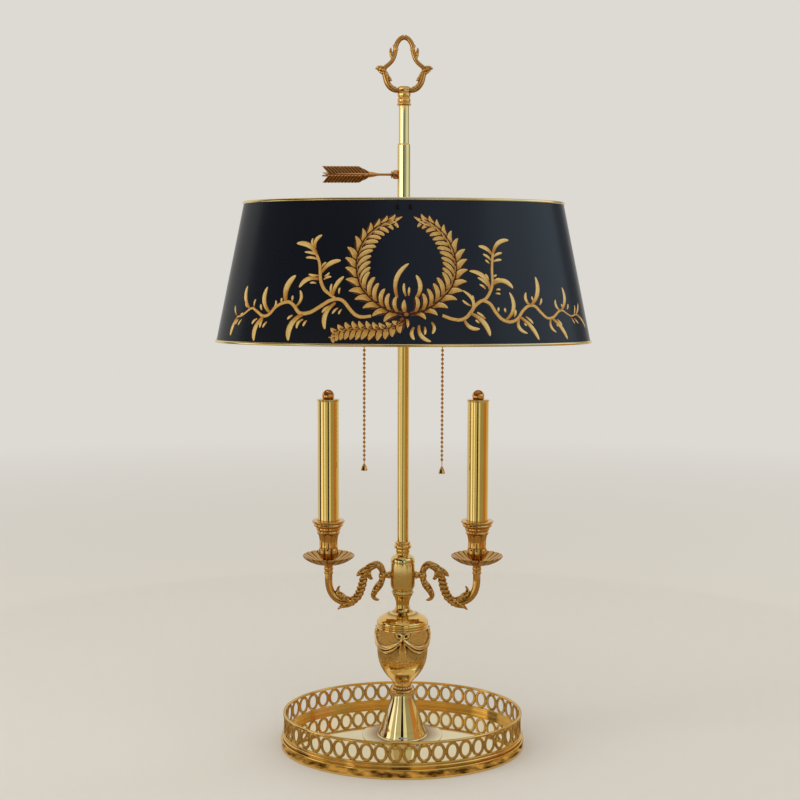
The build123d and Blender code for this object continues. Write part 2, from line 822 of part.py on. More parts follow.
for side, facing in (("left", -1), ("right", 1)):
    along = Plane(origin=(0, 0, cluster_middle), x_dir=(facing, 0, 0), z_dir=(0, -facing, 0))
    lamp_axis = Axis((0, 0, cluster_middle), (1, 0, 0))
    upright = Plane(origin=(facing * guide_reach, 0, cluster_middle))

    with BuildPart() as socket_cap:
        with BuildSketch(along):
            with BuildLine():
                Polyline((cap_end, 0), (socket_start, 0), (socket_start, socket_radius - socket_round))
                CenterArc((socket_start + socket_round, socket_radius - socket_round), socket_round, 90, 90)
                Polyline((socket_start + socket_round, socket_radius), (cap_end, socket_radius), (cap_end, 0))
            make_face()
        revolve(axis=lamp_axis)
        with BuildSketch(upright):
            Circle(guide_radius + slip_gap)
        extrude(amount=-(socket_radius + overrun), mode=Mode.SUBTRACT)
    save(socket_cap, f"socket_cap_{side}")

    with BuildPart() as socket_shell:
        with BuildSketch(along):
            with BuildLine():
                Polyline(
                    (cap_end, socket_radius - socket_wall),
                    (shell_end, socket_radius - socket_wall),
                    (shell_end, socket_radius),
                    (cap_end, socket_radius),
                    close=True,
                )
            make_face()
        revolve(axis=lamp_axis)
    save(socket_shell, f"socket_shell_{side}")

    with BuildPart() as socket_insulator:
        with BuildSketch(along):
            with BuildLine():
                Polyline(
                    (cap_end, 0),
                    (cap_end, holder_radius),
                    (shell_end, holder_radius),
                    (shell_end, bulb_base_radius + bore_gap),
                    (bulb_start, bulb_base_radius + bore_gap),
                    (bulb_start, 0),
                    close=True,
                )
            make_face()
        revolve(axis=lamp_axis)
    save(socket_insulator, f"socket_insulator_{side}")

    with BuildPart() as chain_guide:
        with BuildSketch(upright):
            Circle(guide_radius)
            Circle(guide_bore_radius, mode=Mode.SUBTRACT)
        extrude(amount=-(socket_radius + guide_drop))
    save(chain_guide, f"chain_guide_{side}")

    with BuildPart() as bulb_base:
        with BuildSketch(along):
            with BuildLine():
                Polyline(
                    (bulb_start, 0),
                    (bulb_start, bulb_base_radius - holder_floor / 2),
                    (bulb_start + holder_floor / 2, bulb_base_radius),
                    (bulb_collar, bulb_base_radius),
                    (bulb_collar, 0),
                    close=True,
                )
            make_face()
        revolve(axis=lamp_axis)
    save(bulb_base, f"bulb_base_{side}")

    swell_reach = bulb_collar + bulb_length * bulb_swell_shares[0]
    swell_radius = between(bulb_neck_radius, bulb_radius, bulb_swell_shares[1])
    with BuildPart() as bulb_glass:
        with BuildSketch(along):
            with BuildLine():
                outer_neck = Spline(
                    (bulb_collar, bulb_neck_radius),
                    (swell_reach, swell_radius),
                    (bulb_middle, bulb_radius),
                    tangents=((1, 0), (1, 0)),
                )
                outer_tip = CenterArc((bulb_middle, 0), bulb_radius, 0, 90)
                inner_neck = Spline(
                    (bulb_collar, bulb_neck_radius - bulb_wall),
                    (swell_reach, swell_radius - bulb_wall),
                    (bulb_middle, bulb_radius - bulb_wall),
                    tangents=((1, 0), (1, 0)),
                )
                inner_tip = CenterArc((bulb_middle, 0), bulb_radius - bulb_wall, 0, 90)
                Line(outer_neck @ 0, inner_neck @ 0)
                Line(outer_tip @ 0, inner_tip @ 0)
            make_face()
        revolve(axis=lamp_axis)
    save(bulb_glass, f"bulb_glass_{side}")

# Pull chains: one turned string of beads each, ending in a little bell
guide_mouth = guide_top - guide_drop
bead_half_height = math.sqrt(bead_radius**2 - link_radius**2)

for side, facing, slack in (("left", -1, left_chain_drop), ("right", 1, right_chain_drop)):
    hanging = Plane(origin=(facing * guide_reach, 0, 0), x_dir=(1, 0, 0), z_dir=(0, -1, 0))
    chain_axis = Axis(hanging.origin, (0, 0, 1))
    first_bead = guide_mouth + pull_travel
    last_bead = first_bead - bead_pitch * (bead_count - 1)
    bell_top = last_bead - bead_pitch - slack
    bell_low = bell_top - bell_height
    bead_heights = [last_bead + bead_pitch * index for index in range(bead_count)]

    with BuildPart() as pull_chain:
        with BuildSketch(hanging):
            with BuildLine():
                Polyline(
                    (0, bell_top),
                    (link_radius, bell_top),
                    (link_radius, last_bead - bead_half_height),
                )
                for middle in bead_heights:
                    bead = ThreePointArc(
                        (link_radius, middle - bead_half_height),
                        (bead_radius, middle),
                        (link_radius, middle + bead_half_height),
                    )
                    if middle < first_bead:
                        Line(bead @ 1, (link_radius, middle + bead_pitch - bead_half_height))
                Polyline(bead @ 1, (0, first_bead + bead_half_height), (0, bell_top))
            make_face()
        revolve(axis=chain_axis)
    save(pull_chain, f"pull_chain_{side}")

    with BuildPart() as pull_bell:
        with BuildSketch(hanging):
            with BuildLine():
                crown = Line((0, bell_top), (bell_crown_radius, bell_top))
                wall = ThreePointArc(
                    crown @ 1,
                    (
                        between(bell_crown_radius, bell_radius, bell_swell_share),
                        between(bell_top, bell_low, middle_share),
                    ),
                    (bell_radius, bell_low),
                )
                mouth = Line(wall @ 1, (bell_radius - bell_wall, bell_low))
                hollow = Line(mouth @ 1, (0, between(bell_top, bell_low, middle_share)))
                Line(hollow @ 1, crown @ 0)
            make_face()
        revolve(axis=chain_axis)
    save(pull_bell, f"pull_bell_{side}")

# Finial collar: a flange and two beads that screw into the top of the rod
bead_split = finial_base + finial_flange_height
bead_mid = bead_split + finial_bead_height
with BuildPart() as finial_collar:
    with BuildSketch(Plane.XZ):
        with BuildLine():
            spigot = Polyline(
                (0, finial_base - finial_spigot_depth),
                (finial_spigot_radius - slip_gap, finial_base - finial_spigot_depth),
                (finial_spigot_radius - slip_gap, finial_base),
                (finial_flange_radius - finial_round, finial_base),
            )
            flange = ThreePointArc(
                spigot @ 1,
                (finial_flange_radius, between(finial_base, bead_split, middle_share)),
                (finial_flange_radius - finial_round, bead_split),
            )
            low_step = Line(flange @ 1, (finial_neck_radius - finial_round, bead_split))
            low_bead = ThreePointArc(
                low_step @ 1,
                (finial_neck_radius, between(bead_split, bead_mid, middle_share)),
                (finial_neck_radius - finial_round, bead_mid),
            )
            high_bead = ThreePointArc(
                low_bead @ 1,
                (finial_neck_radius, between(bead_mid, ring_base, middle_share)),
                (finial_neck_radius - finial_round, ring_base),
            )
            Polyline(high_bead @ 1, (0, ring_base), spigot @ 0)
        make_face()
    revolve(axis=Axis.Z)
save(finial_collar, "finial_collar")

# Ring finial: a cast open ring with a round foot, a horn on each side and a pointed arch on top
ring_low = ring_base + ring_wire_radius
horn_angle = math.radians(90 + ring_ogee_turn)
with BuildLine(Plane.XZ):
    foot = Line((0, ring_low), (ring_base_half, ring_low))
    bowl = JernArc(foot @ 1, foot % 1, ring_bowl_radius, 90)
    side = Line(bowl @ 1, (bowl @ 1) + (bowl % 1) * ring_bowl_rise)
    ogee = JernArc(side @ 1, (math.cos(horn_angle), math.sin(horn_angle)), ring_ogee_radius, -ring_ogee_turn)
    arch = TangentArc(ogee @ 1, (0, (ogee @ 1).Z + ring_arch_height), tangent=(0, 1))

with BuildPart() as ring_finial:
    with BuildSketch(Plane.XY.offset(ring_base)):
        Circle(finial_neck_radius - finial_round)
    extrude(amount=finial_boss_height)
    with BuildSketch(square_to(foot, 0)):
        Circle(ring_wire_radius)
    sweep(path=Wire([foot, bowl, side]))
    with BuildSketch(square_to(ogee, 0)):
        Circle(ring_wire_radius)
    sweep(path=Wire([ogee, arch]))
    with Locations(side @ 1):
        Sphere(ring_horn_radius)
    with Locations(ogee @ 1):
        Sphere(ring_knot_radius)
    with BuildSketch(Plane(origin=side @ 1, z_dir=(1, 0, 0))):
        Circle(ring_horn_radius)
    with BuildSketch(Plane(origin=side @ 1, z_dir=(1, 0, 0)).offset(ring_horn_length)):
        Circle(ring_horn_tip_radius)
    loft()
    mirror(about=Plane.YZ)
    with Locations(arch @ 1):
        Sphere(ring_wire_radius)
save(ring_finial, "ring_finial")

# Shade: a tapered oval sheet between two rims
panel_low = shade_bottom + shade_rim_height
panel_high = shade_top - shade_rim_height


def shade_half(height, inset):
    """Half the shade's length and depth at a height, this far inside its outer face."""
    share = (height - shade_bottom) / shade_height
    half_length = between(shade_length, shade_top_length, share) / 2
    half_depth = between(shade_depth, shade_top_depth, share) / 2
    return half_length - inset, half_depth - inset


crossbar_middle = crossbar_base + crossbar_thickness / 2
wall_slope = math.atan((shade_depth - shade_top_depth) / 2 / shade_height)
screw_planes = [
    Plane(
        origin=(0, facing * shade_half(crossbar_middle, 0)[1], crossbar_middle),
        x_dir=(1, 0, 0),
        z_dir=(0, facing * math.cos(wall_slope), math.sin(wall_slope)),
    )
    for facing in (-1, 1)
]

with BuildPart() as shade_panel:
    for height in (panel_low, panel_high):
        with BuildSketch(Plane.XY.offset(height)):
            Ellipse(*shade_half(height, shade_rim_overhang))
    loft(ruled=True)
    for height in (panel_low, panel_high):
        with BuildSketch(Plane.XY.offset(height)):
            Ellipse(*shade_half(height, shade_rim_overhang + shade_wall))
    loft(ruled=True, mode=Mode.SUBTRACT)
    with BuildSketch(*screw_planes):
        with GridLocations(tab_screw_spacing, 0, 2, 1):
            Circle(tab_screw_radius + bore_gap)
    extrude(amount=shade_wall * 2 + shade_rim_overhang, both=True, mode=Mode.SUBTRACT)
save(shade_panel, "shade_panel")

for name, low in (("shade_bottom_rim", shade_bottom), ("shade_top_rim", panel_high)):
    rim_outer = shade_half(low, 0)
    rim_inner = shade_half(low, shade_rim_overhang * 2 + shade_wall)
    with BuildPart() as shade_rim:
        with BuildSketch(Plane.XY.offset(low)):
            Ellipse(*rim_outer)
            Ellipse(*rim_inner, mode=Mode.SUBTRACT)
        extrude(amount=shade_rim_height)
        fillet(shade_rim.edges(), radius=shade_rim_round)
    save(shade_rim, name)

# Crossbar: a flat bar with an eye on the sleeve and a bent tab screwed to the front and back of the shade
tab_face = -(shade_rim_overhang + shade_wall + seat_gap)
bar_half = shade_half(crossbar_middle, shade_rim_overhang + shade_wall + seat_gap + tab_thickness)[1]

with BuildPart() as shade_crossbar:
    with BuildSketch(Plane.XY.offset(crossbar_base)):
        Rectangle(crossbar_width, bar_half * 2)
        Circle(crossbar_eye_radius)
        Circle(sleeve_radius + slip_gap, mode=Mode.SUBTRACT)
    extrude(amount=crossbar_thickness)
    with BuildSketch(*[plane.offset(tab_face) for plane in screw_planes]):
        Rectangle(tab_width, tab_height)
        with GridLocations(tab_screw_spacing, 0, 2, 1):
            Circle(tab_screw_radius + bore_gap, mode=Mode.SUBTRACT)
    extrude(amount=-(tab_thickness + tab_lap))
save(shade_crossbar, "shade_crossbar")

with BuildPart() as crossbar_screws:
    with BuildSketch(*[plane.offset(slip_gap - shade_rim_overhang) for plane in screw_planes]):
        with GridLocations(tab_screw_spacing, 0, 2, 1):
            Circle(tab_screw_head_radius)
    extrude(amount=tab_screw_head_height)
    with BuildSketch(*[plane.offset(slip_gap - shade_rim_overhang) for plane in screw_planes]):
        with GridLocations(tab_screw_spacing, 0, 2, 1):
            Circle(tab_screw_radius)
    extrude(amount=-tab_screw_length)
save(crossbar_screws, "crossbar_screws")

# Sleeve: the tube that slides on the rod, with a flange over the crossbar's eye and a nut under it
sleeve_base = crossbar_base - sleeve_tail
with BuildPart() as shade_sleeve:
    with BuildSketch(Plane.XY.offset(sleeve_base)):
        Circle(sleeve_radius)
    extrude(amount=sleeve_length)
    with BuildSketch(Plane.XY.offset(crossbar_top + slip_gap)):
        Circle(sleeve_flange_radius)
    extrude(amount=sleeve_flange_height)
    with BuildSketch(Plane.XY.offset(sleeve_base)):
        Circle(rod_radius + slip_gap)
    extrude(amount=sleeve_length, mode=Mode.SUBTRACT)
    with BuildSketch(Plane(origin=(0, 0, arrow_height), z_dir=(-1, 0, 0))):
        Circle(screw_radius + slip_gap)
    extrude(amount=sleeve_radius + overrun, mode=Mode.SUBTRACT)
save(shade_sleeve, "shade_sleeve")

with BuildPart() as crossbar_nut:
    with BuildSketch(Plane.XY.offset(crossbar_base - slip_gap)):
        Circle(ring_nut_radius)
        Circle(sleeve_radius + slip_gap, mode=Mode.SUBTRACT)
    extrude(amount=-ring_nut_height)
save(crossbar_nut, "crossbar_nut")

# Arrow screw: a saddle boss on the sleeve, the screw with its plain shaft, and the feathered head
boss_end = sleeve_radius + boss_length
shaft_end = boss_end + arrow_shaft_length
arrow_plane = Plane(origin=(0, 0, arrow_height), x_dir=(0, 1, 0), z_dir=(-1, 0, 0))

with BuildPart() as sleeve_boss:
    with BuildSketch(arrow_plane):
        Circle(boss_radius)
    extrude(amount=boss_end)
    with BuildSketch(Plane.XY.offset(arrow_height - boss_radius)):
        Circle(sleeve_radius + slip_gap)
    extrude(amount=boss_radius * 2, mode=Mode.SUBTRACT)
    with BuildSketch(arrow_plane):
        Circle(screw_radius + slip_gap)
    extrude(amount=boss_end, mode=Mode.SUBTRACT)
save(sleeve_boss, "sleeve_boss")

with BuildPart() as arrow_shaft:
    with BuildSketch(arrow_plane.offset(rod_radius + seat_gap)):
        Circle(screw_radius)
    extrude(amount=boss_end - rod_radius - seat_gap)
    with BuildSketch(arrow_plane.offset(boss_end)):
        Circle(arrow_shaft_radius)
    extrude(amount=arrow_shaft_length)
save(arrow_shaft, "arrow_shaft")

with BuildPart() as arrow_fletching:
    with BuildSketch(arrow_plane.offset(shaft_end)):
        Circle(arrow_shaft_radius)
    extrude(amount=arrow_head_length - arrow_notch)
    for turn in (arrow_turn, arrow_turn + 90):
        vane_plane = Plane(
            origin=(-shaft_end, 0, arrow_height),
            x_dir=(-1, 0, 0),
            z_dir=(0, math.cos(math.radians(turn)), math.sin(math.radians(turn))),
        )
        with BuildSketch(vane_plane):
            with BuildLine():
                Polyline(
                    (0, arrow_shaft_radius),
                    (arrow_taper, arrow_half_height),
                    (arrow_head_length, arrow_half_height),
                    (arrow_head_length - arrow_notch, 0),
                    (arrow_head_length, -arrow_half_height),
                    (arrow_taper, -arrow_half_height),
                    (0, -arrow_shaft_radius),
                    close=True,
                )
            make_face()
        extrude(amount=arrow_vane_thickness / 2, both=True)
save(arrow_fletching, "arrow_fletching")
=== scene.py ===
# %% [markdown]
# A brass table lamp with an oval painted shade
#
# The lamp has a galleried oval tray, an urn-shaped stem, two cast arms with candle-shaped tubes, and a
# black metal shade that slides on a slim rod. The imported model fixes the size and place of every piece.
# This lesson dresses it: each visible piece becomes a smooth surface worked out with numpy, and gets
# the finish that the real metal, paint or glass has.

# %% Load the frame
import math

import bmesh
import bpy
import numpy as np
from mathutils import Matrix, Vector


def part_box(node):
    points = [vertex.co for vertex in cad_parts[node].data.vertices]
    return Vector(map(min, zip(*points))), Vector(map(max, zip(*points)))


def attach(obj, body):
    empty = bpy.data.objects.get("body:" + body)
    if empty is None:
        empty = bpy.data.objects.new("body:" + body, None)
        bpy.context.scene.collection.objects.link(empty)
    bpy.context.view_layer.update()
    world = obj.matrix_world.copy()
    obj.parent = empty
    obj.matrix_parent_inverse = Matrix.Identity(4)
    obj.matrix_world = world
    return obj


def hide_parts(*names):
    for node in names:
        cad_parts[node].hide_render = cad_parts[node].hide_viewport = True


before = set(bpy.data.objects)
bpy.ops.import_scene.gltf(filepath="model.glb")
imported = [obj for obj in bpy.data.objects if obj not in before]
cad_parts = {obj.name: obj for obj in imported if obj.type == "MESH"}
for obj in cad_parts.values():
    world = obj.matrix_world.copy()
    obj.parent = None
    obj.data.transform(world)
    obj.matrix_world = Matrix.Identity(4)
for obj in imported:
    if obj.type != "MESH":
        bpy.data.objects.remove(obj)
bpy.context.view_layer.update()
MM = 0.001
FULL_TURN = math.tau

# %% [markdown]
# ## Surfaces from arrays
# A turned or cast piece could be modelled by hand, but here every shape is a grid of points: rows go
# along the piece and columns go round it. A grid is quick to compute as one array, and easy to check:
# its last column always joins the first, and a flag says if its last row does so too. Points are in
# millimetres until the mesh is made.


# %% Boxes and grids
def place(node):
    """Middle and half size of a node's box, in millimetres."""
    low, high = (np.array(corner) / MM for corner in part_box(node))
    return (low + high) / 2, (high - low) / 2


def quads(rows, columns, wrap_rows):
    """Corner numbers of a grid's faces: each lies between two rows and two columns that follow."""
    row = np.arange(rows if wrap_rows else rows - 1)[:, None]
    column = np.arange(columns)[None, :]
    next_row, next_column = (row + 1) % rows, (column + 1) % columns
    corners = [(row, column), (next_row, column), (next_row, next_column), (row, next_column)]
    numbers = [np.broadcast_to(r * columns + c, (row.size, column.size)) for r, c in corners]
    return np.stack(numbers, -1).reshape(-1, 4)


def grid(points, wrap_rows=False, tone=1.0):
    """One surface or many alike: points (copies, rows, columns, 3), and a tone that is 0 in recesses, as
    painted shade.
    """
    points = np.asarray(points, dtype=float)
    points = points.reshape(-1, *points.shape[-3:])
    return points, wrap_rows, np.broadcast_to(tone, points.shape[:-1])


# %% The piece that grids make
def piece(name, body, finish, nodes, *grids, sharp_degrees=48):
    """Join grids in one mesh, merge seams and poles, turn the faces outwards, and ride it on a body."""
    corners, faces, tones, first = [], [], [], 0
    for points, wrap_rows, tone in grids:
        copies, rows, columns = points.shape[:3]
        starts = first + np.arange(copies)[:, None, None] * rows * columns
        faces.append((quads(rows, columns, wrap_rows)[None] + starts).reshape(-1, 4))
        corners.append(points.reshape(-1, 3))
        tones.append(tone.reshape(-1))
        first += copies * rows * columns
    corners, faces = np.concatenate(corners) * MM, np.concatenate(faces)
    mesh = bpy.data.meshes.new(name)
    mesh.vertices.add(len(corners))
    mesh.vertices.foreach_set("co", corners.ravel())
    mesh.loops.add(faces.size)
    mesh.loops.foreach_set("vertex_index", faces.ravel().astype(np.int32))
    mesh.polygons.add(len(faces))
    mesh.polygons.foreach_set("loop_start", np.arange(0, faces.size, 4, dtype=np.int32))
    mesh.update(calc_edges=True)
    mesh.attributes.new("tone", "FLOAT", "POINT").data.foreach_set("value", np.concatenate(tones))
    work = bmesh.new()
    work.from_mesh(mesh)
    bmesh.ops.remove_doubles(work, verts=work.verts, dist=1e-6)
    bmesh.ops.recalc_face_normals(work, faces=work.faces)
    work.to_mesh(mesh)
    work.free()
    mesh.shade_smooth()
    mesh.set_sharp_from_angle(angle=math.radians(sharp_degrees))
    made = bpy.data.objects.new(name, mesh)
    bpy.context.collection.objects.link(made)
    mesh.materials.append(finish)
    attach(made, body)
    if nodes:
        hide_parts(*nodes)
    print(f"{name}: {len(mesh.polygons)} faces")
    return made


# %% [markdown]
# ## Outlines, turnings, mouldings and limbs
# Most of the lamp was turned on a lathe, so one function rounds the corners of an outline and another
# spins it. The oval tray and shade carry an outline round an ellipse instead. The arms and the finial
# are castings that lie in one upright plane, so they are limbs: a smooth path with a thickness and a
# width at each of its points.


# %% Outlines and curves
def outline(rows, closed=False, steps=6):
    """Rows (radius, height, softness): a quadratic curve rounds each corner as far out as its softness."""
    table = np.asarray(rows, dtype=float)
    corner, soft = table[:, :2], table[:, 2:]
    before, after = np.roll(corner, 1, 0) - corner, np.roll(corner, -1, 0) - corner
    if not closed:
        before[0], after[-1] = 0, 0
    lengths = [np.maximum(np.linalg.norm(side, axis=1, keepdims=True), 1e-9) for side in (before, after)]
    start = corner + before * np.minimum(0.5, soft / lengths[0])
    end = corner + after * np.minimum(0.5, soft / lengths[1])
    lead = corner + before * np.minimum(0.5, 1.3 * soft / lengths[0])
    trail = corner + after * np.minimum(0.5, 1.3 * soft / lengths[1])
    t = np.linspace(0, 1, steps)[None, :, None]
    bend = (1 - t) ** 2 * start[:, None] + 2 * t * (1 - t) * corner[:, None] + t**2 * end[:, None]
    curve = np.concatenate([lead[:, None], bend, trail[:, None]], axis=1).reshape(-1, 2)
    fresh = np.linalg.norm(np.diff(curve, axis=0, prepend=curve[:1] - 1), axis=1) > 1e-4
    return curve[fresh]


def even(curve, count):
    """The same curve with its points evenly spaced along it."""
    length = np.concatenate([[0], np.cumsum(np.linalg.norm(np.diff(curve, axis=0), axis=1))])
    share = np.linspace(0, length[-1], count)
    return np.stack([np.interp(share, length, column) for column in curve.T], axis=1)


def through(rows, steps=8):
    """A Catmull-Rom curve through the rows: the slope at a row is half its neighbours' difference."""
    table = np.asarray(rows, dtype=float)
    table = np.concatenate([2 * table[:1] - table[1:2], table, 2 * table[-1:] - table[-2:-1]])
    p0, p1, p2, p3 = (table[i : len(table) - 3 + i, None] for i in range(4))
    t = np.linspace(0, 1, steps, endpoint=False)[None, :, None]
    curve = (
        2 * p1 + (p2 - p0) * t + (2 * p0 - 5 * p1 + 4 * p2 - p3) * t**2 + (3 * p1 - p0 - 3 * p2 + p3) * t**3
    )
    return np.concatenate([curve.reshape(-1, table.shape[1]) / 2, table[-2:-1]])


# %% Turnings
def around(sides):
    """Angles of a full turn, with the first not repeated."""
    return np.linspace(0, FULL_TURN, sides, endpoint=False)


def turned(curve, sides=96, centre=(0, 0), swell=1.0):
    """Spin (radius, height) points upright: x = cx + s r cos a, y = cy + s r sin a, where s is the swell."""
    angle = around(sides)
    radius = curve[:, :1] * np.broadcast_to(swell, (len(curve), sides))
    height = np.broadcast_to(curve[:, 1:2], radius.shape)
    return np.stack([centre[0] + radius * np.cos(angle), centre[1] + radius * np.sin(angle), height], -1)


def fitted(node, rows, steps=6):
    """A rounded outline, scaled so that it fills a node's box, and the place of its axis."""
    middle, half = place(node)
    curve = outline(rows, steps=steps)
    low, high = curve[:, 1].min(), curve[:, 1].max()
    rise = (curve[:, 1] - low) / (high - low) * 2 * half[2] + middle[2] - half[2]
    return np.stack([curve[:, 0] / curve[:, 0].max() * half[0], rise], 1), middle[:2]


def sunk_shade_tone(depth, reach=5, strength=0.9):
    """Tone of an outline: 1, less where a point lies deeper than its neighbours' mean: painted shade and
    tarnish.
    """
    mean = sum(np.roll(depth, shift) for shift in range(-reach, reach + 1)) / (2 * reach + 1)
    return np.clip(1 - strength * (depth - mean), 0.1, 1)


def turned_piece(name, node, finish, rows, sides):
    """A piece of the stand that is one turned outline, filling its node's box."""
    curve, centre = fitted(node, rows)
    # Grooves get a lower tone: painted shade, over some tarnish.
    tone = sunk_shade_tone(-curve[:, 0])[:, None]
    return piece(name, "stand", finish, [node], grid(turned(curve, sides, centre), tone=tone))


# %% Mouldings round an oval
def moulded(rows, half_length, half_depth, sides=320):
    """Carry rows (share, inset, height) round an oval: a share of its edge, less an inset square to it."""
    share, inset, height = (np.asarray(rows, dtype=float)[:, i, None, None] for i in range(3))
    angle = around(sides)
    edge = np.stack([half_length * np.cos(angle), half_depth * np.sin(angle)], -1)
    normal = np.stack([half_depth * np.cos(angle), half_length * np.sin(angle)], -1)
    normal /= np.linalg.norm(normal, axis=1, keepdims=True)
    flat = share * edge - inset * normal
    return np.concatenate([flat, np.broadcast_to(height, (*flat.shape[:2], 1))], -1)


def rim_loop(rows, node):
    """A closed rounded section (inset, height above the node's foot) carried round the node's oval."""
    middle, half = place(node)
    section = outline(rows, closed=True)
    ones = np.ones(len(section))
    table = np.stack([ones, section[:, 0], section[:, 1] + middle[2] - half[2]], 1)
    # Points midway in inset count as deep, so the tone paints shade into the moulding's hollows.
    inner_side = np.abs(section[:, 0] - np.ptp(section[:, 0]) / 2)
    return grid(moulded(table, half[0], half[1]), wrap_rows=True, tone=sunk_shade_tone(-inner_side)[:, None])


# %% Balls and limbs
def balls(centres, radius, rows=9, sides=14):
    """Small spheres, all at once: centre + radius * (cos b cos a, cos b sin a, sin b)."""
    rise, angle = np.linspace(-math.pi / 2, math.pi / 2, rows)[:, None], around(sides)[None]
    level = np.cos(rise)
    unit = np.stack([level * np.cos(angle), level * np.sin(angle), np.sin(rise) + 0 * angle], -1)
    return grid(np.asarray(centres, dtype=float).reshape(-1, 1, 1, 3) + radius * unit)


def relief_shade_tone(relief, reach):
    """How far each point of a relief stands above the mean of its neighbours, as a tone from 0 to 1."""
    # A low tone is painted shade in the hollows, over some tarnish, and a high tone a painted highlight on
    # the ridges.
    shifts = [(i, j) for i in range(-reach, reach + 1) for j in range(-reach, reach + 1)]
    mean = sum(np.roll(relief, shift, axis=(0, 1)) for shift in shifts) / len(shifts)
    spread = np.abs(relief - mean).max() + 1e-9
    return np.clip(0.78 + 0.9 * (relief - mean) / spread, 0, 1)


def limb(rows, sides=28, steps=8, relief=None, mirror=1):
    """A casting in the upright plane: rows (x, z, half thickness, half width), joined by a smooth curve.

    Point = path + s t cos(a) normal + s w sin(a) Y, where s = 1 + relief(length along, a). Both ends
    are closed.
    """
    x, z, thick, wide = through(rows, steps).T
    path = np.stack([x, z], 1)
    along = np.gradient(path, axis=0)
    along /= np.linalg.norm(along, axis=1, keepdims=True)
    length = np.concatenate([[0], np.cumsum(np.linalg.norm(np.diff(path, axis=0), axis=1))])[:, None]
    angle = around(sides)[None]
    raised = np.zeros((len(path), sides)) if relief is None else relief(length, angle)
    lift = thick[:, None] * (1 + raised) * np.cos(angle)
    breadth = wide[:, None] * (1 + raised) * np.sin(angle)
    points = np.stack([x[:, None] - along[:, 1:] * lift, breadth, z[:, None] + along[:, :1] * lift], -1)
    ends = [np.broadcast_to([x[i], 0, z[i]], (1, sides, 3)) for i in (0, -1)]
    points = np.concatenate([ends[0], points, ends[1]]) * [mirror, 1, 1]
    # The relief's tone paints shade in its hollows and highlight on its ridges.
    tone = 1.0 if relief is None else np.pad(relief_shade_tone(raised, 2), ((1, 1), (0, 0)), mode="edge")
    return grid(points, tone=tone)


# %% [markdown]
# ## Camera and stage
# The camera stands where the photograph was taken from: a little above the middle of the lamp and
# tilted down by five degrees. The floor is plain and pale, and fades into the background. Polished
# brass is a mirror, so the studio has soft boxes, and pale, dark and tan cards and a mottled floor card
# that only its reflections see.

# %% Camera
FRAME_PIXELS = 800
FOCAL_PIXELS = 1250
CAMERA_PLACE = (-0.0033, -1.277, 0.484)
CAMERA_TILT = math.radians(5.39)
CAMERA_ROLL = math.radians(0.15)

camera_data = bpy.data.cameras.new("camera")
camera_data.lens = camera_data.sensor_width * FOCAL_PIXELS / FRAME_PIXELS
camera = bpy.data.objects.new("camera", camera_data)
bpy.context.collection.objects.link(camera)
turn = Matrix.Rotation(math.pi / 2 - CAMERA_TILT, 4, "X") @ Matrix.Rotation(CAMERA_ROLL, 4, "Z")
camera.matrix_world = Matrix.Translation(CAMERA_PLACE) @ turn
bpy.context.scene.camera = camera
bpy.context.scene.view_settings.view_transform = "Standard"
print("camera lens:", round(camera_data.lens, 2), "mm")


# %% Colours and nodes
def linear(code):
    """An sRGB hex colour as linear red, green and blue, with full alpha."""
    values = np.array([int(code[i : i + 2], 16) for i in (1, 3, 5)]) / 255
    low, high = values / 12.92, ((values + 0.055) / 1.055) ** 2.4
    return (*np.where(values <= 0.04045, low, high), 1.0)


def add_node(tree, kind, feeds=None, **settings):
    """Add a node with its settings, and feed its inputs with values or with other nodes' outputs."""
    node = tree.nodes.new(kind)
    for key, value in settings.items():
        setattr(node, key, value)
    for key, value in (feeds or {}).items():
        if isinstance(value, bpy.types.NodeSocket):
            tree.links.new(value, node.inputs[key])
        else:
            node.inputs[key].default_value = value
    return node


# %% Floor and background
BACKGROUND = "#DDDAD4"
FLOOR_REACH = 9.0
FADE_START, FADE_END = 0.75, 2.6

world = bpy.data.worlds.new("studio")
bpy.context.scene.world = world
world.use_nodes = True
world.node_tree.nodes["Background"].inputs["Color"].default_value = linear(BACKGROUND)

floor_mesh = bpy.data.meshes.new("floor")
corner = [(x * FLOOR_REACH, y * FLOOR_REACH, 0) for x, y in ((-1, -1), (1, -1), (1, 1), (-1, 1))]
floor_mesh.from_pydata(corner, [], [(0, 1, 2, 3)])
floor = bpy.data.objects.new("floor", floor_mesh)
bpy.context.collection.objects.link(floor)
floor_paint = bpy.data.materials.new("floor_paper")
floor_paint.use_nodes = True
tree = floor_paint.node_tree
paper = tree.nodes["Principled BSDF"]
paper.inputs["Base Color"].default_value = linear("#DCD8D0")
paper.inputs["Roughness"].default_value = 0.9
spot = add_node(tree, "ShaderNodeTexCoord").outputs["Object"]
distance = add_node(tree, "ShaderNodeVectorMath", {0: spot}, operation="LENGTH").outputs["Value"]
fade = add_node(
    tree, "ShaderNodeMapRange", {"Value": distance, "From Min": FADE_START, "From Max": FADE_END}
)
rays = add_node(tree, "ShaderNodeLightPath").outputs
seen = add_node(
    tree, "ShaderNodeMath", {0: rays["Is Camera Ray"], 1: rays["Is Glossy Ray"]}, operation="MAXIMUM"
)
seen = add_node(
    tree, "ShaderNodeMath", {0: seen.outputs[0], 1: rays["Is Transmission Ray"]}, operation="MAXIMUM"
)
amount = add_node(
    tree, "ShaderNodeMath", {0: fade.outputs["Result"], 1: seen.outputs[0]}, operation="MULTIPLY"
)
glow = add_node(tree, "ShaderNodeEmission", {"Color": linear(BACKGROUND)})
blend = add_node(
    tree, "ShaderNodeMixShader", {0: amount.outputs[0], 1: paper.outputs[0], 2: glow.outputs[0]}
)
tree.links.new(blend.outputs[0], tree.nodes["Material Output"].inputs["Surface"])
floor_mesh.materials.append(floor_paint)
print("floor half width:", FLOOR_REACH, "m")


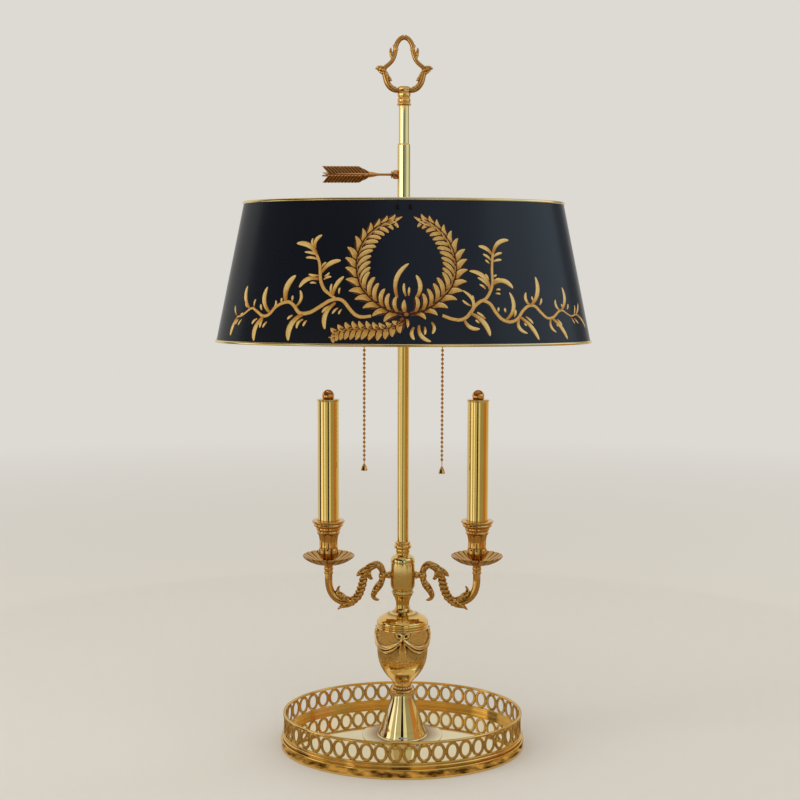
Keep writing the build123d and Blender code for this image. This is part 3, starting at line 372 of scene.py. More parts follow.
# %% Soft boxes
def soft_box(name, spot, aim, size, radiance):
    """A rectangular lamp that faces its aim. Its power is its radiance times pi times its area."""
    data = bpy.data.lights.new(name, "AREA")
    data.shape = "RECTANGLE"
    data.size, data.size_y = size
    data.energy = radiance * math.pi * size[0] * size[1]
    box = bpy.data.objects.new(name, data)
    box.location = spot
    box.rotation_euler = (Vector(aim) - box.location).to_track_quat("-Z", "Y").to_euler()
    bpy.context.collection.objects.link(box)
    return box


LAMP_MIDDLE = (0, 0, 0.36)
# Place, then width and height, in metres, and radiance
soft_boxes = {
    "left_box": ((-1.9, -0.62, 1.0), (0.7, 1.6), 2.4),
    "right_box": ((1.75, 0.75, 0.9), (0.6, 1.4), 1.6),
    "top_box": ((-0.2, -0.35, 2.1), (1.5, 1.0), 1.7),
}
for name, (spot, size, radiance) in soft_boxes.items():
    soft_box(name, spot, LAMP_MIDDLE, size, radiance).visible_glossy = False
print("soft boxes:", len(soft_boxes))

# %% Cards that only reflections see
CARD_DISTANCE, RING_CARD_DISTANCE = 0.85, 0.3
CARD_SPLIT, CARD_HIGH, CARD_TOP = 0.45, 1.0, 2.4
CARD_LIFT = 0.003
# A zone has a distance, a foot and a head in metres. Its cards have a bearing and a spread in degrees,
# a colour and a strength. The lowest zone is for the stem, the next for the shade, the third for the
# tray and the last for the finial.
card_zones = {
    (CARD_DISTANCE, 0.0, CARD_SPLIT): (
        (-91, 18, "#3A2712", 1.0), (-72, 20, "#EFE6C8", 1.5), (-52, 20, "#C4BC94", 1.0),
        (-39, 6, "#FFFFF4", 1.6), (-23, 26, "#C4BC94", 1.0), (-1, 14, "#16100A", 1.0),
        (15, 18, "#D6D0A8", 1.2), (42, 36, "#A29C78", 1.0), (77, 34, "#BC8040", 1.0),
        (109, 30, "#D0B478", 1.0)
    ),
    (CARD_DISTANCE, CARD_SPLIT, CARD_HIGH): (
        (-91, 18, "#C8C8C4", 1.2), (-72, 20, "#2A2A28", 1.0), (-36, 52, "#141416", 1.0),
        (-2, 16, "#7C8AA4", 1.0), (20, 28, "#8E9EB4", 1.0), (48, 28, "#B8CCDC", 1.4),
        (77, 34, "#C8DCEC", 1.5), (109, 30, "#8A9098", 1.0)
    ),
    (CARD_DISTANCE, CARD_HIGH, CARD_TOP): (
        (-75, 50, "#BCB096", 1.0), (-30, 40, "#BCB096", 1.0), (10, 40, "#C4BCA8", 1.0),
        (50, 40, "#C8C8C0", 1.0), (97, 54, "#C8C8C0", 1.0)
    ),
    (RING_CARD_DISTANCE, 0.69, 0.82): ((-33, 50, "#E8D4BC", 1.3), (17, 50, "#D8C4AC", 1.0))
}


def reflection_card(name, corners, faces):
    """A stage mesh that only mirror reflections see, and its material tree with an emission to colour."""
    mesh = bpy.data.meshes.new(name)
    mesh.from_pydata(corners, [], faces)
    paint = bpy.data.materials.new(name)
    paint.use_nodes = True
    tree = paint.node_tree
    tint = add_node(tree, "ShaderNodeEmission")
    tree.links.new(tint.outputs[0], tree.nodes["Material Output"].inputs["Surface"])
    mesh.materials.append(paint)
    card = bpy.data.objects.new(name, mesh)
    bpy.context.collection.objects.link(card)
    card.visible_camera = False
    card.visible_diffuse = False
    card.visible_shadow = False
    card.visible_transmission = False
    return tree, tint


placed = [(*zone, *card) for zone, row in card_zones.items() for card in row]
for number, (distance, foot, head, bearing, spread, colour, strength) in enumerate(placed):
    edges = [math.radians(bearing + sign * spread / 2) for sign in (-1, 1)]
    feet = [(distance * math.sin(angle), -distance * math.cos(angle)) for angle in edges]
    corner = [(x, y, z) for z in (foot + CARD_LIFT, head) for x, y in feet]
    tint = reflection_card(f"card_{number}", corner, [(0, 1, 3, 2)])[1]
    tint.inputs["Color"].default_value = linear(colour)
    tint.inputs["Strength"].default_value = strength
print("upright cards:", len(placed))

# %% Mottled floor card that only reflections see
FLOOR_CARD_GAP, FLOOR_CARD_REACH, FLOOR_CARD_LIFT = 0.002, 0.8, 0.001
FLOOR_CARD_SIDES = 96
FLOOR_CARD_MOTTLE = 0.014
tray_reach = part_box("base_tray")[1]
ovals = ([tray_reach[i] + FLOOR_CARD_GAP for i in (0, 1)], (FLOOR_CARD_REACH, FLOOR_CARD_REACH))
angle = around(FLOOR_CARD_SIDES)
ring = [np.stack([a * np.cos(angle), b * np.sin(angle), 0 * angle + FLOOR_CARD_LIFT], 1) for a, b in ovals]
sectors = quads(2, FLOOR_CARD_SIDES, False)
tree, tint = reflection_card("floor_card", np.concatenate(ring).tolist(), sectors.tolist())
spot = add_node(tree, "ShaderNodeTexCoord").outputs["Object"]
mottle = add_node(
    tree, "ShaderNodeTexNoise", {"Vector": spot, "Scale": 1 / FLOOR_CARD_MOTTLE, "Detail": 3.0}
)
contrast = add_node(
    tree, "ShaderNodeMapRange", {"Value": mottle.outputs["Fac"], "From Min": 0.36, "From Max": 0.64}
)
feeds = {0: contrast.outputs[0], 6: linear("#48371F"), 7: linear("#CDB486")}
tree.links.new(add_node(tree, "ShaderNodeMix", feeds, data_type="RGBA").outputs[2], tint.inputs["Color"])
print("floor card reach:", FLOOR_CARD_REACH, "m")

# %% [markdown]
# ## Finishes
# The brasses share one idea: the colour of a metal is the colour of its reflection. Turned brass is
# pale and clear, cast brass is redder, with darker recesses, partly tarnish where the polishing wheel
# didn't reach and partly painted shade, and the arrow has a brown patina. A piece stores its recesses
# and ridges in its tone attribute, so the painted shade and highlight follow the carving.


# %% Start of every finish
def new_finish(name, slot, sockets):
    """A material whose shader has these constant sockets, with the record's slot kept on it."""
    finish = bpy.data.materials.new(name)
    finish.use_nodes = True
    finish["slot"] = slot
    shader = finish.node_tree.nodes["Principled BSDF"]
    for socket, value in sockets.items():
        shader.inputs[socket].default_value = value
    return finish, finish.node_tree, shader


# %% How a brass is mixed
def brass(name, slot, bright, deep, smooth, dull, cloud_mm, grain_mm, grain_depth_mm):
    """Brass: tone, low in painted shade, mixes its two colours, a cloudy noise varies the gloss, and a fine
    noise is the grain.
    """
    finish, tree, shader = new_finish(name, slot, {"Metallic": 1.0})
    spot = add_node(tree, "ShaderNodeTexCoord").outputs["Object"]
    cloud = add_node(
        tree, "ShaderNodeTexNoise", {"Vector": spot, "Scale": 1 / (cloud_mm * MM), "Detail": 3.0}
    )
    grain = add_node(
        tree, "ShaderNodeTexNoise", {"Vector": spot, "Scale": 1 / (grain_mm * MM), "Detail": 2.0}
    )
    tone = add_node(tree, "ShaderNodeAttribute", attribute_name="tone").outputs["Fac"]
    stain = add_node(
        tree, "ShaderNodeMapRange", {"Value": cloud.outputs["Fac"], "To Min": 0.82, "To Max": 1.08}
    )
    level = add_node(
        tree, "ShaderNodeMath", {0: tone, 1: stain.outputs[0]}, operation="MULTIPLY", use_clamp=True
    )
    feeds = {0: level.outputs[0], 6: linear(deep), 7: linear(bright)}
    colour = add_node(tree, "ShaderNodeMix", feeds, data_type="RGBA")
    tree.links.new(colour.outputs[2], shader.inputs["Base Color"])
    gloss = add_node(
        tree, "ShaderNodeMapRange", {"Value": level.outputs[0], "To Min": dull, "To Max": smooth}
    )
    tree.links.new(gloss.outputs[0], shader.inputs["Roughness"])
    if grain_depth_mm:
        feeds = {"Height": grain.outputs["Fac"], "Strength": 0.35, "Distance": grain_depth_mm * MM}
        bump = add_node(tree, "ShaderNodeBump", feeds)
        tree.links.new(bump.outputs["Normal"], shader.inputs["Normal"])
    return finish


# %% Brasses
# Turned tube, buffed to a mirror and lacquered: pale yellow with a faint cloud in its gloss.
turned_brass = brass("turned_brass", "polished_brass", "#EBD08C", "#8A6420", 0.05, 0.25, 35, 6, 0)
# Cast and buffed brass: redder, brown in the recesses as tarnish and painted shade, with a little sand-cast
# unevenness left in it.
cast_brass = brass("cast_brass", "cast_brass", "#E0B068", "#54300F", 0.09, 0.42, 14, 2.5, 0.03)
# Patinated casting: coppery brown, and dark brown where the tone paints shade in the barbs' grooves.
brown_brass = brass("brown_brass", "antique_brass", "#E8AC6C", "#3C1C0A", 0.16, 0.45, 8, 1.6, 0.05)
# Gilt bands of the tray: warm yellow, with the mottling of brushed-on lacquer.
gilt_brass = brass("gilt_brass", "cast_brass", "#F0C878", "#5A3410", 0.08, 0.35, 12, 3, 0)
# Chased casting of the urn: bright on its ridges, toned gold between them and brown in the folds,
# where the tone paints highlight and shade over some tarnish.
urn_brass = brass("urn_brass", "cast_brass", "#FFDC98", "#3E1E08", 0.05, 0.26, 12, 3, 0)
# Rolled bead on the shade's edges: handled and dusted, so duller and deeper than the tubes.
rim_brass = brass("rim_brass", "polished_brass", "#F0DCA4", "#8A6A30", 0.22, 0.4, 20, 5, 0)
# Spun foot and floor of the tray: the palest, since their lacquer is nearly colourless.
pale_brass = brass("pale_brass", "polished_brass", "#F4E6BE", "#8A6420", 0.04, 0.2, 35, 6, 0)
print("brasses:", [material.name for material in bpy.data.materials if "brass" in material.name])


# %% Enamel, lining and gold paint
def plain_finish(name, slot, colours, gloss, grain_mm, sockets):
    """A finish whose colour, and gloss if given, drifts between two values with a noise of that grain."""
    finish, tree, shader = new_finish(name, slot, sockets)
    spot = add_node(tree, "ShaderNodeTexCoord").outputs["Object"]
    noise = add_node(
        tree, "ShaderNodeTexNoise", {"Vector": spot, "Scale": 1 / (grain_mm * MM), "Detail": 4.0}
    )
    feeds = {0: noise.outputs["Fac"], 6: linear(colours[0]), 7: linear(colours[1])}
    colour = add_node(tree, "ShaderNodeMix", feeds, data_type="RGBA")
    tree.links.new(colour.outputs[2], shader.inputs["Base Color"])
    if gloss:
        feeds = {"Value": noise.outputs["Fac"], "To Min": gloss[0], "To Max": gloss[1]}
        shine = add_node(tree, "ShaderNodeMapRange", feeds)
        tree.links.new(shine.outputs[0], shader.inputs["Roughness"])
    return finish


# Satin stove enamel on sheet metal: blue-black, with a faint orange peel.
enamel, tree, shader = new_finish(
    "black_enamel", "black_tole", {"Base Color": linear("#10151F"), "Specular IOR Level": 0.4}
)
spot = add_node(tree, "ShaderNodeTexCoord").outputs["Object"]
peel = add_node(tree, "ShaderNodeTexNoise", {"Vector": spot, "Scale": 1 / (4 * MM), "Detail": 2.0})
cloud = add_node(tree, "ShaderNodeTexNoise", {"Vector": spot, "Scale": 1 / (60 * MM), "Detail": 3.0})
gloss = add_node(
    tree, "ShaderNodeMapRange", {"Value": cloud.outputs["Fac"], "To Min": 0.24, "To Max": 0.32}
)
tree.links.new(gloss.outputs[0], shader.inputs["Roughness"])
bump = add_node(
    tree, "ShaderNodeBump", {"Height": peel.outputs["Fac"], "Strength": 0.15, "Distance": 0.02 * MM}
)
tree.links.new(bump.outputs["Normal"], shader.inputs["Normal"])

# Matt gold paint inside the shade, brushed on, so its colour drifts a little.
lining_look = {"Roughness": 0.6, "Metallic": 0.25}
lining = plain_finish("gold_lining", "black_tole", ("#B08B47", "#D3B26C"), None, 25, lining_look)

# Gold size and bronze powder, shaded with brown glaze: tone runs from the glaze to the bright gold.
gold_paint, tree, shader = new_finish("gold_leaf_paint", "black_tole", {"Metallic": 0.3, "Roughness": 0.42})
spot = add_node(tree, "ShaderNodeTexCoord").outputs["Object"]
speck = add_node(tree, "ShaderNodeTexNoise", {"Vector": spot, "Scale": 1 / (1.5 * MM), "Detail": 3.0})
tone = add_node(tree, "ShaderNodeAttribute", attribute_name="tone").outputs["Fac"]
drift = add_node(
    tree, "ShaderNodeMapRange", {"Value": speck.outputs["Fac"], "To Min": -0.14, "To Max": 0.14}
)
level = add_node(tree, "ShaderNodeMath", {0: tone, 1: drift.outputs[0]}, operation="ADD", use_clamp=True)
ramp = add_node(tree, "ShaderNodeValToRGB", {"Fac": level.outputs[0]})
stops = {0.0: "#2A1206", 0.3: "#96501A", 0.65: "#C48C34", 1.0: "#EFD28A"}
for stop in list(stops)[1:-1]:
    ramp.color_ramp.elements.new(stop)
for element, (stop, code) in zip(ramp.color_ramp.elements, stops.items()):
    element.position, element.color = stop, linear(code)
tree.links.new(ramp.outputs["Color"], shader.inputs["Base Color"])

# %% Screws, fittings, felt and glass
# Each keeps to the typical gloss of its material, and felt has a soft sheen.
black_screw = plain_finish(
    "blackened_steel", "black_screw", ("#101012", "#1D1D20"), (0.3, 0.5), 2, {"Metallic": 0.6}
)
zinc = plain_finish(
    "zinc_plated_steel", "zinc_steel", ("#A9ABAA", "#C3C4C1"), (0.25, 0.45), 5, {"Metallic": 1.0}
)
phenolic = plain_finish("brown_phenolic", "phenolic", ("#1B1210", "#2A1D18"), (0.25, 0.4), 6, {"IOR": 1.6})
cap_metal = plain_finish(
    "rolled_aluminium", "lamp_cap_metal", ("#B9B9B7", "#D6D6D3"), (0.25, 0.4), 3, {"Metallic": 1.0}
)
felt = plain_finish("green_felt", "felt", ("#16301F", "#27472F"), (0.9, 1.0), 0.8, {"Sheen Weight": 0.4})
nylon = plain_finish("black_nylon", "bush_plastic", ("#0E0E0F", "#1A1A1B"), (0.4, 0.55), 2, {"IOR": 1.53})
glass, tree, shader = new_finish(
    "blown_glass", "clear_glass", {"Transmission Weight": 1.0, "IOR": 1.5, "Roughness": 0.02}
)
spot = add_node(tree, "ShaderNodeTexCoord").outputs["Object"]
wave = add_node(tree, "ShaderNodeTexNoise", {"Vector": spot, "Scale": 1 / (18 * MM)})
bump = add_node(
    tree, "ShaderNodeBump", {"Height": wave.outputs["Fac"], "Strength": 0.1, "Distance": 0.2 * MM}
)
tree.links.new(bump.outputs["Normal"], shader.inputs["Normal"])
print("finishes:", len([material for material in bpy.data.materials if "slot" in material]))

# %% [markdown]
# ## Tray and gallery
# The base is a pressed oval tray with a polished floor. A pierced gallery stands on it: a moulded foot
# rail, a frieze of touching oval rings, and a bead on top. The rings are cast flat and bent round the
# oval, so each ring is drawn flat, as an ellipse with a rounded bar, and its width is then laid along
# the oval's own length.

# %% Tray, rails and felt
FLOOR_UNDERSIDE, FLOOR_LEVEL = 8, 9.9
BAND_WIDTH = 3


def closed_oval(edge, low, high, half):
    """An oval slab: its edge is an outline (inset, height), closed by a flat underside and a flat top."""
    rows = [(0, 0, low), *[(1, inset, height) for inset, height in edge], (0, 0, high)]
    return grid(moulded(rows, half[0], half[1]))


tray_half = place("base_tray")[1]
band = outline([(3, 8, 0.3), (2, 8, 0.3), (2, 0, 0.3), (0, 0, 0.7), (0, 10, 1.3), (3, 10, 0.5)])
tray_grid = closed_oval(band, FLOOR_UNDERSIDE, tray_half[2] * 2, tray_half)
tray = piece("tray", "stand", gilt_brass, ["base_tray"], tray_grid)
tray.data.materials.append(pale_brass)
face_middles = np.empty(len(tray.data.polygons) * 3)
tray.data.polygons.foreach_get("center", face_middles)
face_middles = face_middles.reshape(-1, 3) / MM
inside_band = np.hypot(*(face_middles[:, :2] / (tray_half[:2] - BAND_WIDTH)).T) < 1
on_floor = (face_middles[:, 2] > FLOOR_LEVEL) & inside_band
tray.data.polygons.foreach_set("material_index", on_floor.astype(np.int32))

foot_section = [
    (4.2, 0, 0.3), (2.2, 0, 0.3), (2.2, 1.3, 0.3), (0.2, 1.5, 0.4), (0, 2.7, 0.7), (0.8, 3.6, 0.4),
    (1.7, 3.9, 0.3), (1.7, 4.4, 0.3), (0.9, 4.8, 0.4), (0.9, 5.7, 0.5), (1.7, 6, 0.3), (3.4, 6, 0.3),
    (4.2, 5.5, 0.4), (4.2, 4.6, 0.3), (3.5, 4.3, 0.2), (3.5, 3.6, 0.2), (4.2, 3.3, 0.3), (4.2, 2, 0.3),
    (3.6, 1.7, 0.2), (3.6, 1, 0.2), (4.2, 0.7, 0.3)
]
piece("foot_rail", "stand", gilt_brass, ["gallery_foot_rail"], rim_loop(foot_section, "gallery_foot_rail"))
top_section = [
    (0.2, 0, 0.6), (-0.2, 1.4, 0.9), (0.7, 2.6, 0.9), (2.3, 2.6, 0.9), (3.2, 1.4, 0.9), (2.8, 0, 0.6)
]
piece("top_rail", "stand", gilt_brass, ["gallery_top_rail"], rim_loop(top_section, "gallery_top_rail"))
felt_half = place("base_felt")[1]
felt_edge = outline([(4, 0, 0.4), (0, 0, 0.5), (0, 1.5, 0.5), (4, 1.5, 0.4)])
felt_grid = closed_oval(felt_edge, 0, felt_half[2] * 2, felt_half)
felt_pad = piece("felt_pad", "stand", felt, ["base_felt"], felt_grid)

# %% Frieze of rings
RING_COUNT = 48
RING_BAR = 3.1
RING_DEPTH = 1.6
RAIL_WIDTH = 3.0
rail_half = place("gallery_top_rail")[1]
frieze_middle, frieze_half = place("gallery_frieze")
dense = np.linspace(0, FULL_TURN, 6001)
line = np.stack(
    [(rail_half[0] - RAIL_WIDTH / 2) * np.cos(dense), (rail_half[1] - RAIL_WIDTH / 2) * np.sin(dense)], 1
)
line_length = np.concatenate([[0], np.cumsum(np.linalg.norm(np.diff(line, axis=0), axis=1))])
pitch = line_length[-1] / RING_COUNT

start = (np.arange(RING_COUNT)[:, None, None] + 0.5) * pitch
t, a = around(44)[None, :, None], around(12)[None, None, :]
half_wide, half_high = pitch / 2 - RING_BAR / 2 + 0.3, frieze_half[2] - RING_BAR / 2 + 0.4
out = np.stack([half_high * np.cos(t), half_wide * np.sin(t)])
out /= np.linalg.norm(out, axis=0)
boxy = np.abs(np.cos(a)) ** 0.7 * np.sign(np.cos(a)) * RING_BAR / 2
proud = np.abs(np.sin(a)) ** 0.7 * np.sign(np.sin(a)) * RING_DEPTH / 2
run = (start + half_wide * np.cos(t) + boxy * out[0]) % line_length[-1]
rise = np.broadcast_to(frieze_middle[2] + half_high * np.sin(t) + boxy * out[1], run.shape)
bearing = np.interp(run, line_length, dense)
normal = np.stack([rail_half[1] * np.cos(bearing), rail_half[0] * np.sin(bearing)], -1)
normal /= np.linalg.norm(normal, axis=-1, keepdims=True)
flat = np.stack([np.interp(run, line_length, line[:, 0]), np.interp(run, line_length, line[:, 1])], -1)
rings = np.concatenate([flat + normal * (proud + 0 * run)[..., None], rise[..., None]], -1)
# Front and back faces of each bar get a tone near 1, its edges and bore walls 0.4: painted shade in the ring
# holes.
ring_bore_shade = 0.4 + 0.55 * np.abs(np.sin(a)) ** 2 + 0 * run
piece("gallery_rings", "stand", gilt_brass, ["gallery_frieze"], grid(rings, wrap_rows=True, tone=ring_bore_shade))
print("ring pitch:", round(pitch, 2), "mm")

# %% [markdown]
# ## Turned stem
# A conical foot, a beaded collar, an urn with its lid, a drum-shaped hub, a ferrule and the column
# follow one another up the stem. Each is an outline spun on the lathe, scaled to its node, and the
# beads were rolled on.

# %% Foot and collar
foot_rows = [
    (0, 0, 0), (42, 0, 0.3), (42, 0.9, 0.3), (41.6, 1.2, 0.2), (26.4, 1.3, 0.3), (25.4, 1.9, 0.5),
    (25.2, 3, 1), (23.2, 7.2, 3), (21.1, 13.6, 4), (18.9, 20.2, 4), (16.8, 26.8, 4), (14.5, 33, 4),
    (12.5, 39.5, 4), (11.5, 45, 2), (11.4, 47, 0.3), (0, 47, 0)
]
turned_piece("foot", "trumpet_foot", pale_brass, foot_rows, sides=128)


def bead_circle(node, count, radius, rise):
    """Places of beads on a level circle, this far above the foot of a node: x = r cos a, y = r sin a."""
    middle, half = place(node)
    angle = around(count)
    return np.stack(
        [radius * np.cos(angle), radius * np.sin(angle), 0 * angle + middle[2] - half[2] + rise], 1
    )


COLLAR_BEADS, HUB_BEADS = 22, 24
collar_rows = [
    (0, 0, 0), (11.2, 0, 0.5), (12.4, 1.6, 1.4), (11.2, 3.2, 0.6), (8.8, 3.5, 0.3), (8.2, 5.2, 1),
    (8.8, 7.1, 0.4), (8.8, 7.5, 0.2), (0, 7.5, 0)
]
turned_piece("collar", "beaded_collar", cast_brass, collar_rows, sides=72)
collar_places = bead_circle("beaded_collar", COLLAR_BEADS, 9.4, 5.2)
piece("collar_beads", "stand", pale_brass, [], balls(collar_places, 1.15, rows=11, sides=18))

# %% Lid, hub, ferrule and column
lid_rows = [
    (0, 0, 0), (26.2, 0, 0.3), (26.9, 0.7, 0.6), (26.9, 1.8, 0.6), (26.1, 2.3, 0.3), (26.1, 2.8, 0.3),
    (26.8, 3.3, 0.5), (26.8, 4.4, 0.6), (26.3, 4.9, 0.4), (25.7, 7, 1.8), (22.4, 9.8, 3), (17, 12.4, 3),
    (10.4, 15, 2.5), (7.7, 18, 2), (6.8, 21.8, 2), (6.9, 25, 2.5), (8.4, 29.6, 3), (10.2, 32.6, 1),
    (10.6, 34, 0.3), (0, 34, 0)
]
turned_piece("lid", "urn_lid", gilt_brass, lid_rows, sides=128)

hub_rows = [
    (0, 0, 0), (10, 0, 0.4), (10.2, 1.4, 0.8), (10, 2.8, 0.4), (10.2, 3.6, 0.4), (12.3, 7.2, 2.2),
    (12.6, 10, 1.5), (12.6, 32.8, 0.6), (12.3, 33.4, 0.3), (12.3, 34, 0.3), (12.6, 34.6, 0.5),
    (12.5, 36.6, 1), (11.2, 39.2, 1.8), (8.4, 40.6, 1), (6.8, 41.5, 0.5), (0, 41.5, 0)
]
turned_piece("hub", "arm_hub", turned_brass, hub_rows, sides=96)
piece("hub_beads", "stand", pale_brass, [], balls(bead_circle("arm_hub", HUB_BEADS, 10.5, 1.5), 1.1))

ferrule_rows = [
    (0, 0, 0), (6.9, 0, 0.3), (6.5, 1.6, 1), (7.3, 4, 1.2), (6.9, 5.8, 0.6), (7.4, 6.4, 0.3), (8.8, 7, 0.5),
    (9, 8.6, 0.9), (8.5, 10.2, 0.6), (7.4, 10.6, 0.3), (7.4, 11.2, 0.3), (8.2, 12, 0.6), (8, 13, 0.5),
    (7, 13.5, 0.3), (0, 13.5, 0)
]
turned_piece("ferrule", "column_ferrule", gilt_brass, ferrule_rows, sides=72)
column_rows = [(0, 0, 0), (6, 0, 0.2), (6, 238.5, 0.2), (0, 238.5, 0)]
turned_piece("column", "column_tube", turned_brass, column_rows, sides=72)

# %% [markdown]
# ## Urn
# The urn is cast with ribbon bows at the front, back and sides, and a swag of cloth between them. Its
# surface is the turned outline plus a relief: a swag is a ridge that follows a hanging curve, a bow is
# two loops and a knot, and two ribbon ends hang below each bow. All are functions of the distance round
# the urn and of the height.

# %% Urn with bows and swags
urn_rows = [
    (0, 0, 0), (9.5, 0, 0.6), (9.9, 1.4, 0.8), (9.5, 2.6, 0.6), (11.2, 4.6, 2), (16.4, 10, 3),
    (20.7, 16, 4), (23.8, 22.2, 4), (25.8, 30, 5), (26.6, 40, 6), (26.7, 54, 4), (26.5, 60.6, 0.5),
    (27, 61.4, 0.5), (27, 62.6, 0.4), (26.6, 63, 0.2), (0, 63, 0)
]
BOW_SPAN, BOW_HEIGHT = 21.6, 57.8
SWAG_LOW, SWAG_DROP, SWAG_RELIEF = 42.4, 13.4, 3.1
TAIL_TOP, TAIL_LOW = 56, 40.5
CARVED_RADIUS = 20
URN_ROWS, URN_SIDES = 260, 288
QUARTER = math.pi / 2
curve, centre = fitted("urn_body", urn_rows)
curve = even(curve, URN_ROWS)
angle = around(URN_SIDES)[None]
height = curve[:, 1:2] - curve[:, 1].min()
offset = (angle + QUARTER + QUARTER / 2) % QUARTER - QUARTER / 2
apart = np.abs(offset / (QUARTER / 2) * BOW_SPAN)
hang = SWAG_LOW + SWAG_DROP * (1 - apart / BOW_SPAN) ** 2
slope = 2 * SWAG_DROP / BOW_SPAN * (1 - apart / BOW_SPAN)
# A swag is thickest at its lowest point, and two folds run along it.
thickness = 1.3 + 2.9 * np.sin(QUARTER * apart / BOW_SPAN)
q = (height - hang) / np.sqrt(1 + slope**2) / thickness
fold = 1 - 0.75 * np.exp(-((q + 0.08) / 0.15) ** 2) - 0.35 * np.exp(-((q - 0.5) / 0.1) ** 2)
swag = SWAG_RELIEF * np.sqrt(np.clip(1 - q**2, 0, None)) * fold
# A bow has a ring-shaped loop on each side, which rises outwards, and a round knot.
loop = np.sqrt(((apart - 3.6) / 3.2) ** 2 + ((height - BOW_HEIGHT - 0.25 * apart) / 2.5) ** 2)
bow = 2.2 * np.sqrt(np.clip(1 - ((loop - 0.85) / 0.45) ** 2, 0, None))
knot = 2.5 * np.exp(-((apart / 1.4) ** 2) - ((height - BOW_HEIGHT) / 1.7) ** 2)
# The two ribbon ends spread a little as they fall.
tail_path = 1.2 + 0.13 * (TAIL_TOP - height)
tail_end = np.clip((height - TAIL_LOW) / 3, 0, 1) * np.clip((TAIL_TOP + 1 - height) / 1.5, 0, 1)
tail = 1.8 * tail_end * np.sqrt(np.clip(1 - ((apart - tail_path) / 0.95) ** 2, 0, None))
relief = np.maximum.reduce([swag * (height > 20), bow, knot, tail])
relief = relief * (curve[:, :1] > CARVED_RADIUS)
# A painted shadow darkens the plain wall just below each swag, outside the ribbon ends.
shadow = 0.4 * np.exp(-(((height - hang + 9) / 6) ** 2)) * (apart > tail_path)
# The urn's tone is the relief's painted shade and highlight, less that painted shadow.
tone = np.clip(1.9 * relief_shade_tone(relief, 4) - 0.4 - shadow, 0, 1)
urn_grid = turned(curve, URN_SIDES, centre, 1 + relief / np.maximum(curve[:, :1], 1))
piece("urn", "stand", urn_brass, ["urn_body"], grid(urn_grid, tone=tone), sharp_degrees=75)

# %% [markdown]
# ## Arms
# Each arm is one casting: a peg and a ball at the hub, a leafy sheath that arches over, a rope twist, a
# knot, and then a smooth tube up to the drip pan. Leaves spring from it at the foot of the bowl and
# below the ball. Every stretch is a limb, and its relief is a wave: strands that wind round for the
# rope, ribs along for the leaves.


# %% Functions of the arm's carving
def rope(length, angle):
    """Two strands that wind round: the relief is the size of a cosine of the angle less the length."""
    return 0.42 * np.abs(np.cos(angle - math.pi * length / 4.7)) ** 0.6 - 0.22


def ribbed(length, angle):
    """A twisted leaf sheath: three shallow strands that wind round it once in 30 mm."""
    return 0.16 * np.abs(np.cos(1.5 * angle - math.pi * length / 10)) ** 0.7 - 0.1


def lobed(length, angle):
    """An acanthus leaf: lobes along its edges, and veins across its faces."""
    lobes = 0.12 * np.abs(np.sin(math.pi * length / 3.6))
    return lobes * np.abs(np.sin(angle)) + 0.07 * np.cos(4 * angle + 0.5 * length)


# %% Stretches of an arm
CANDLE_ALONG, KNOB_RADIUS = 77, 4.4


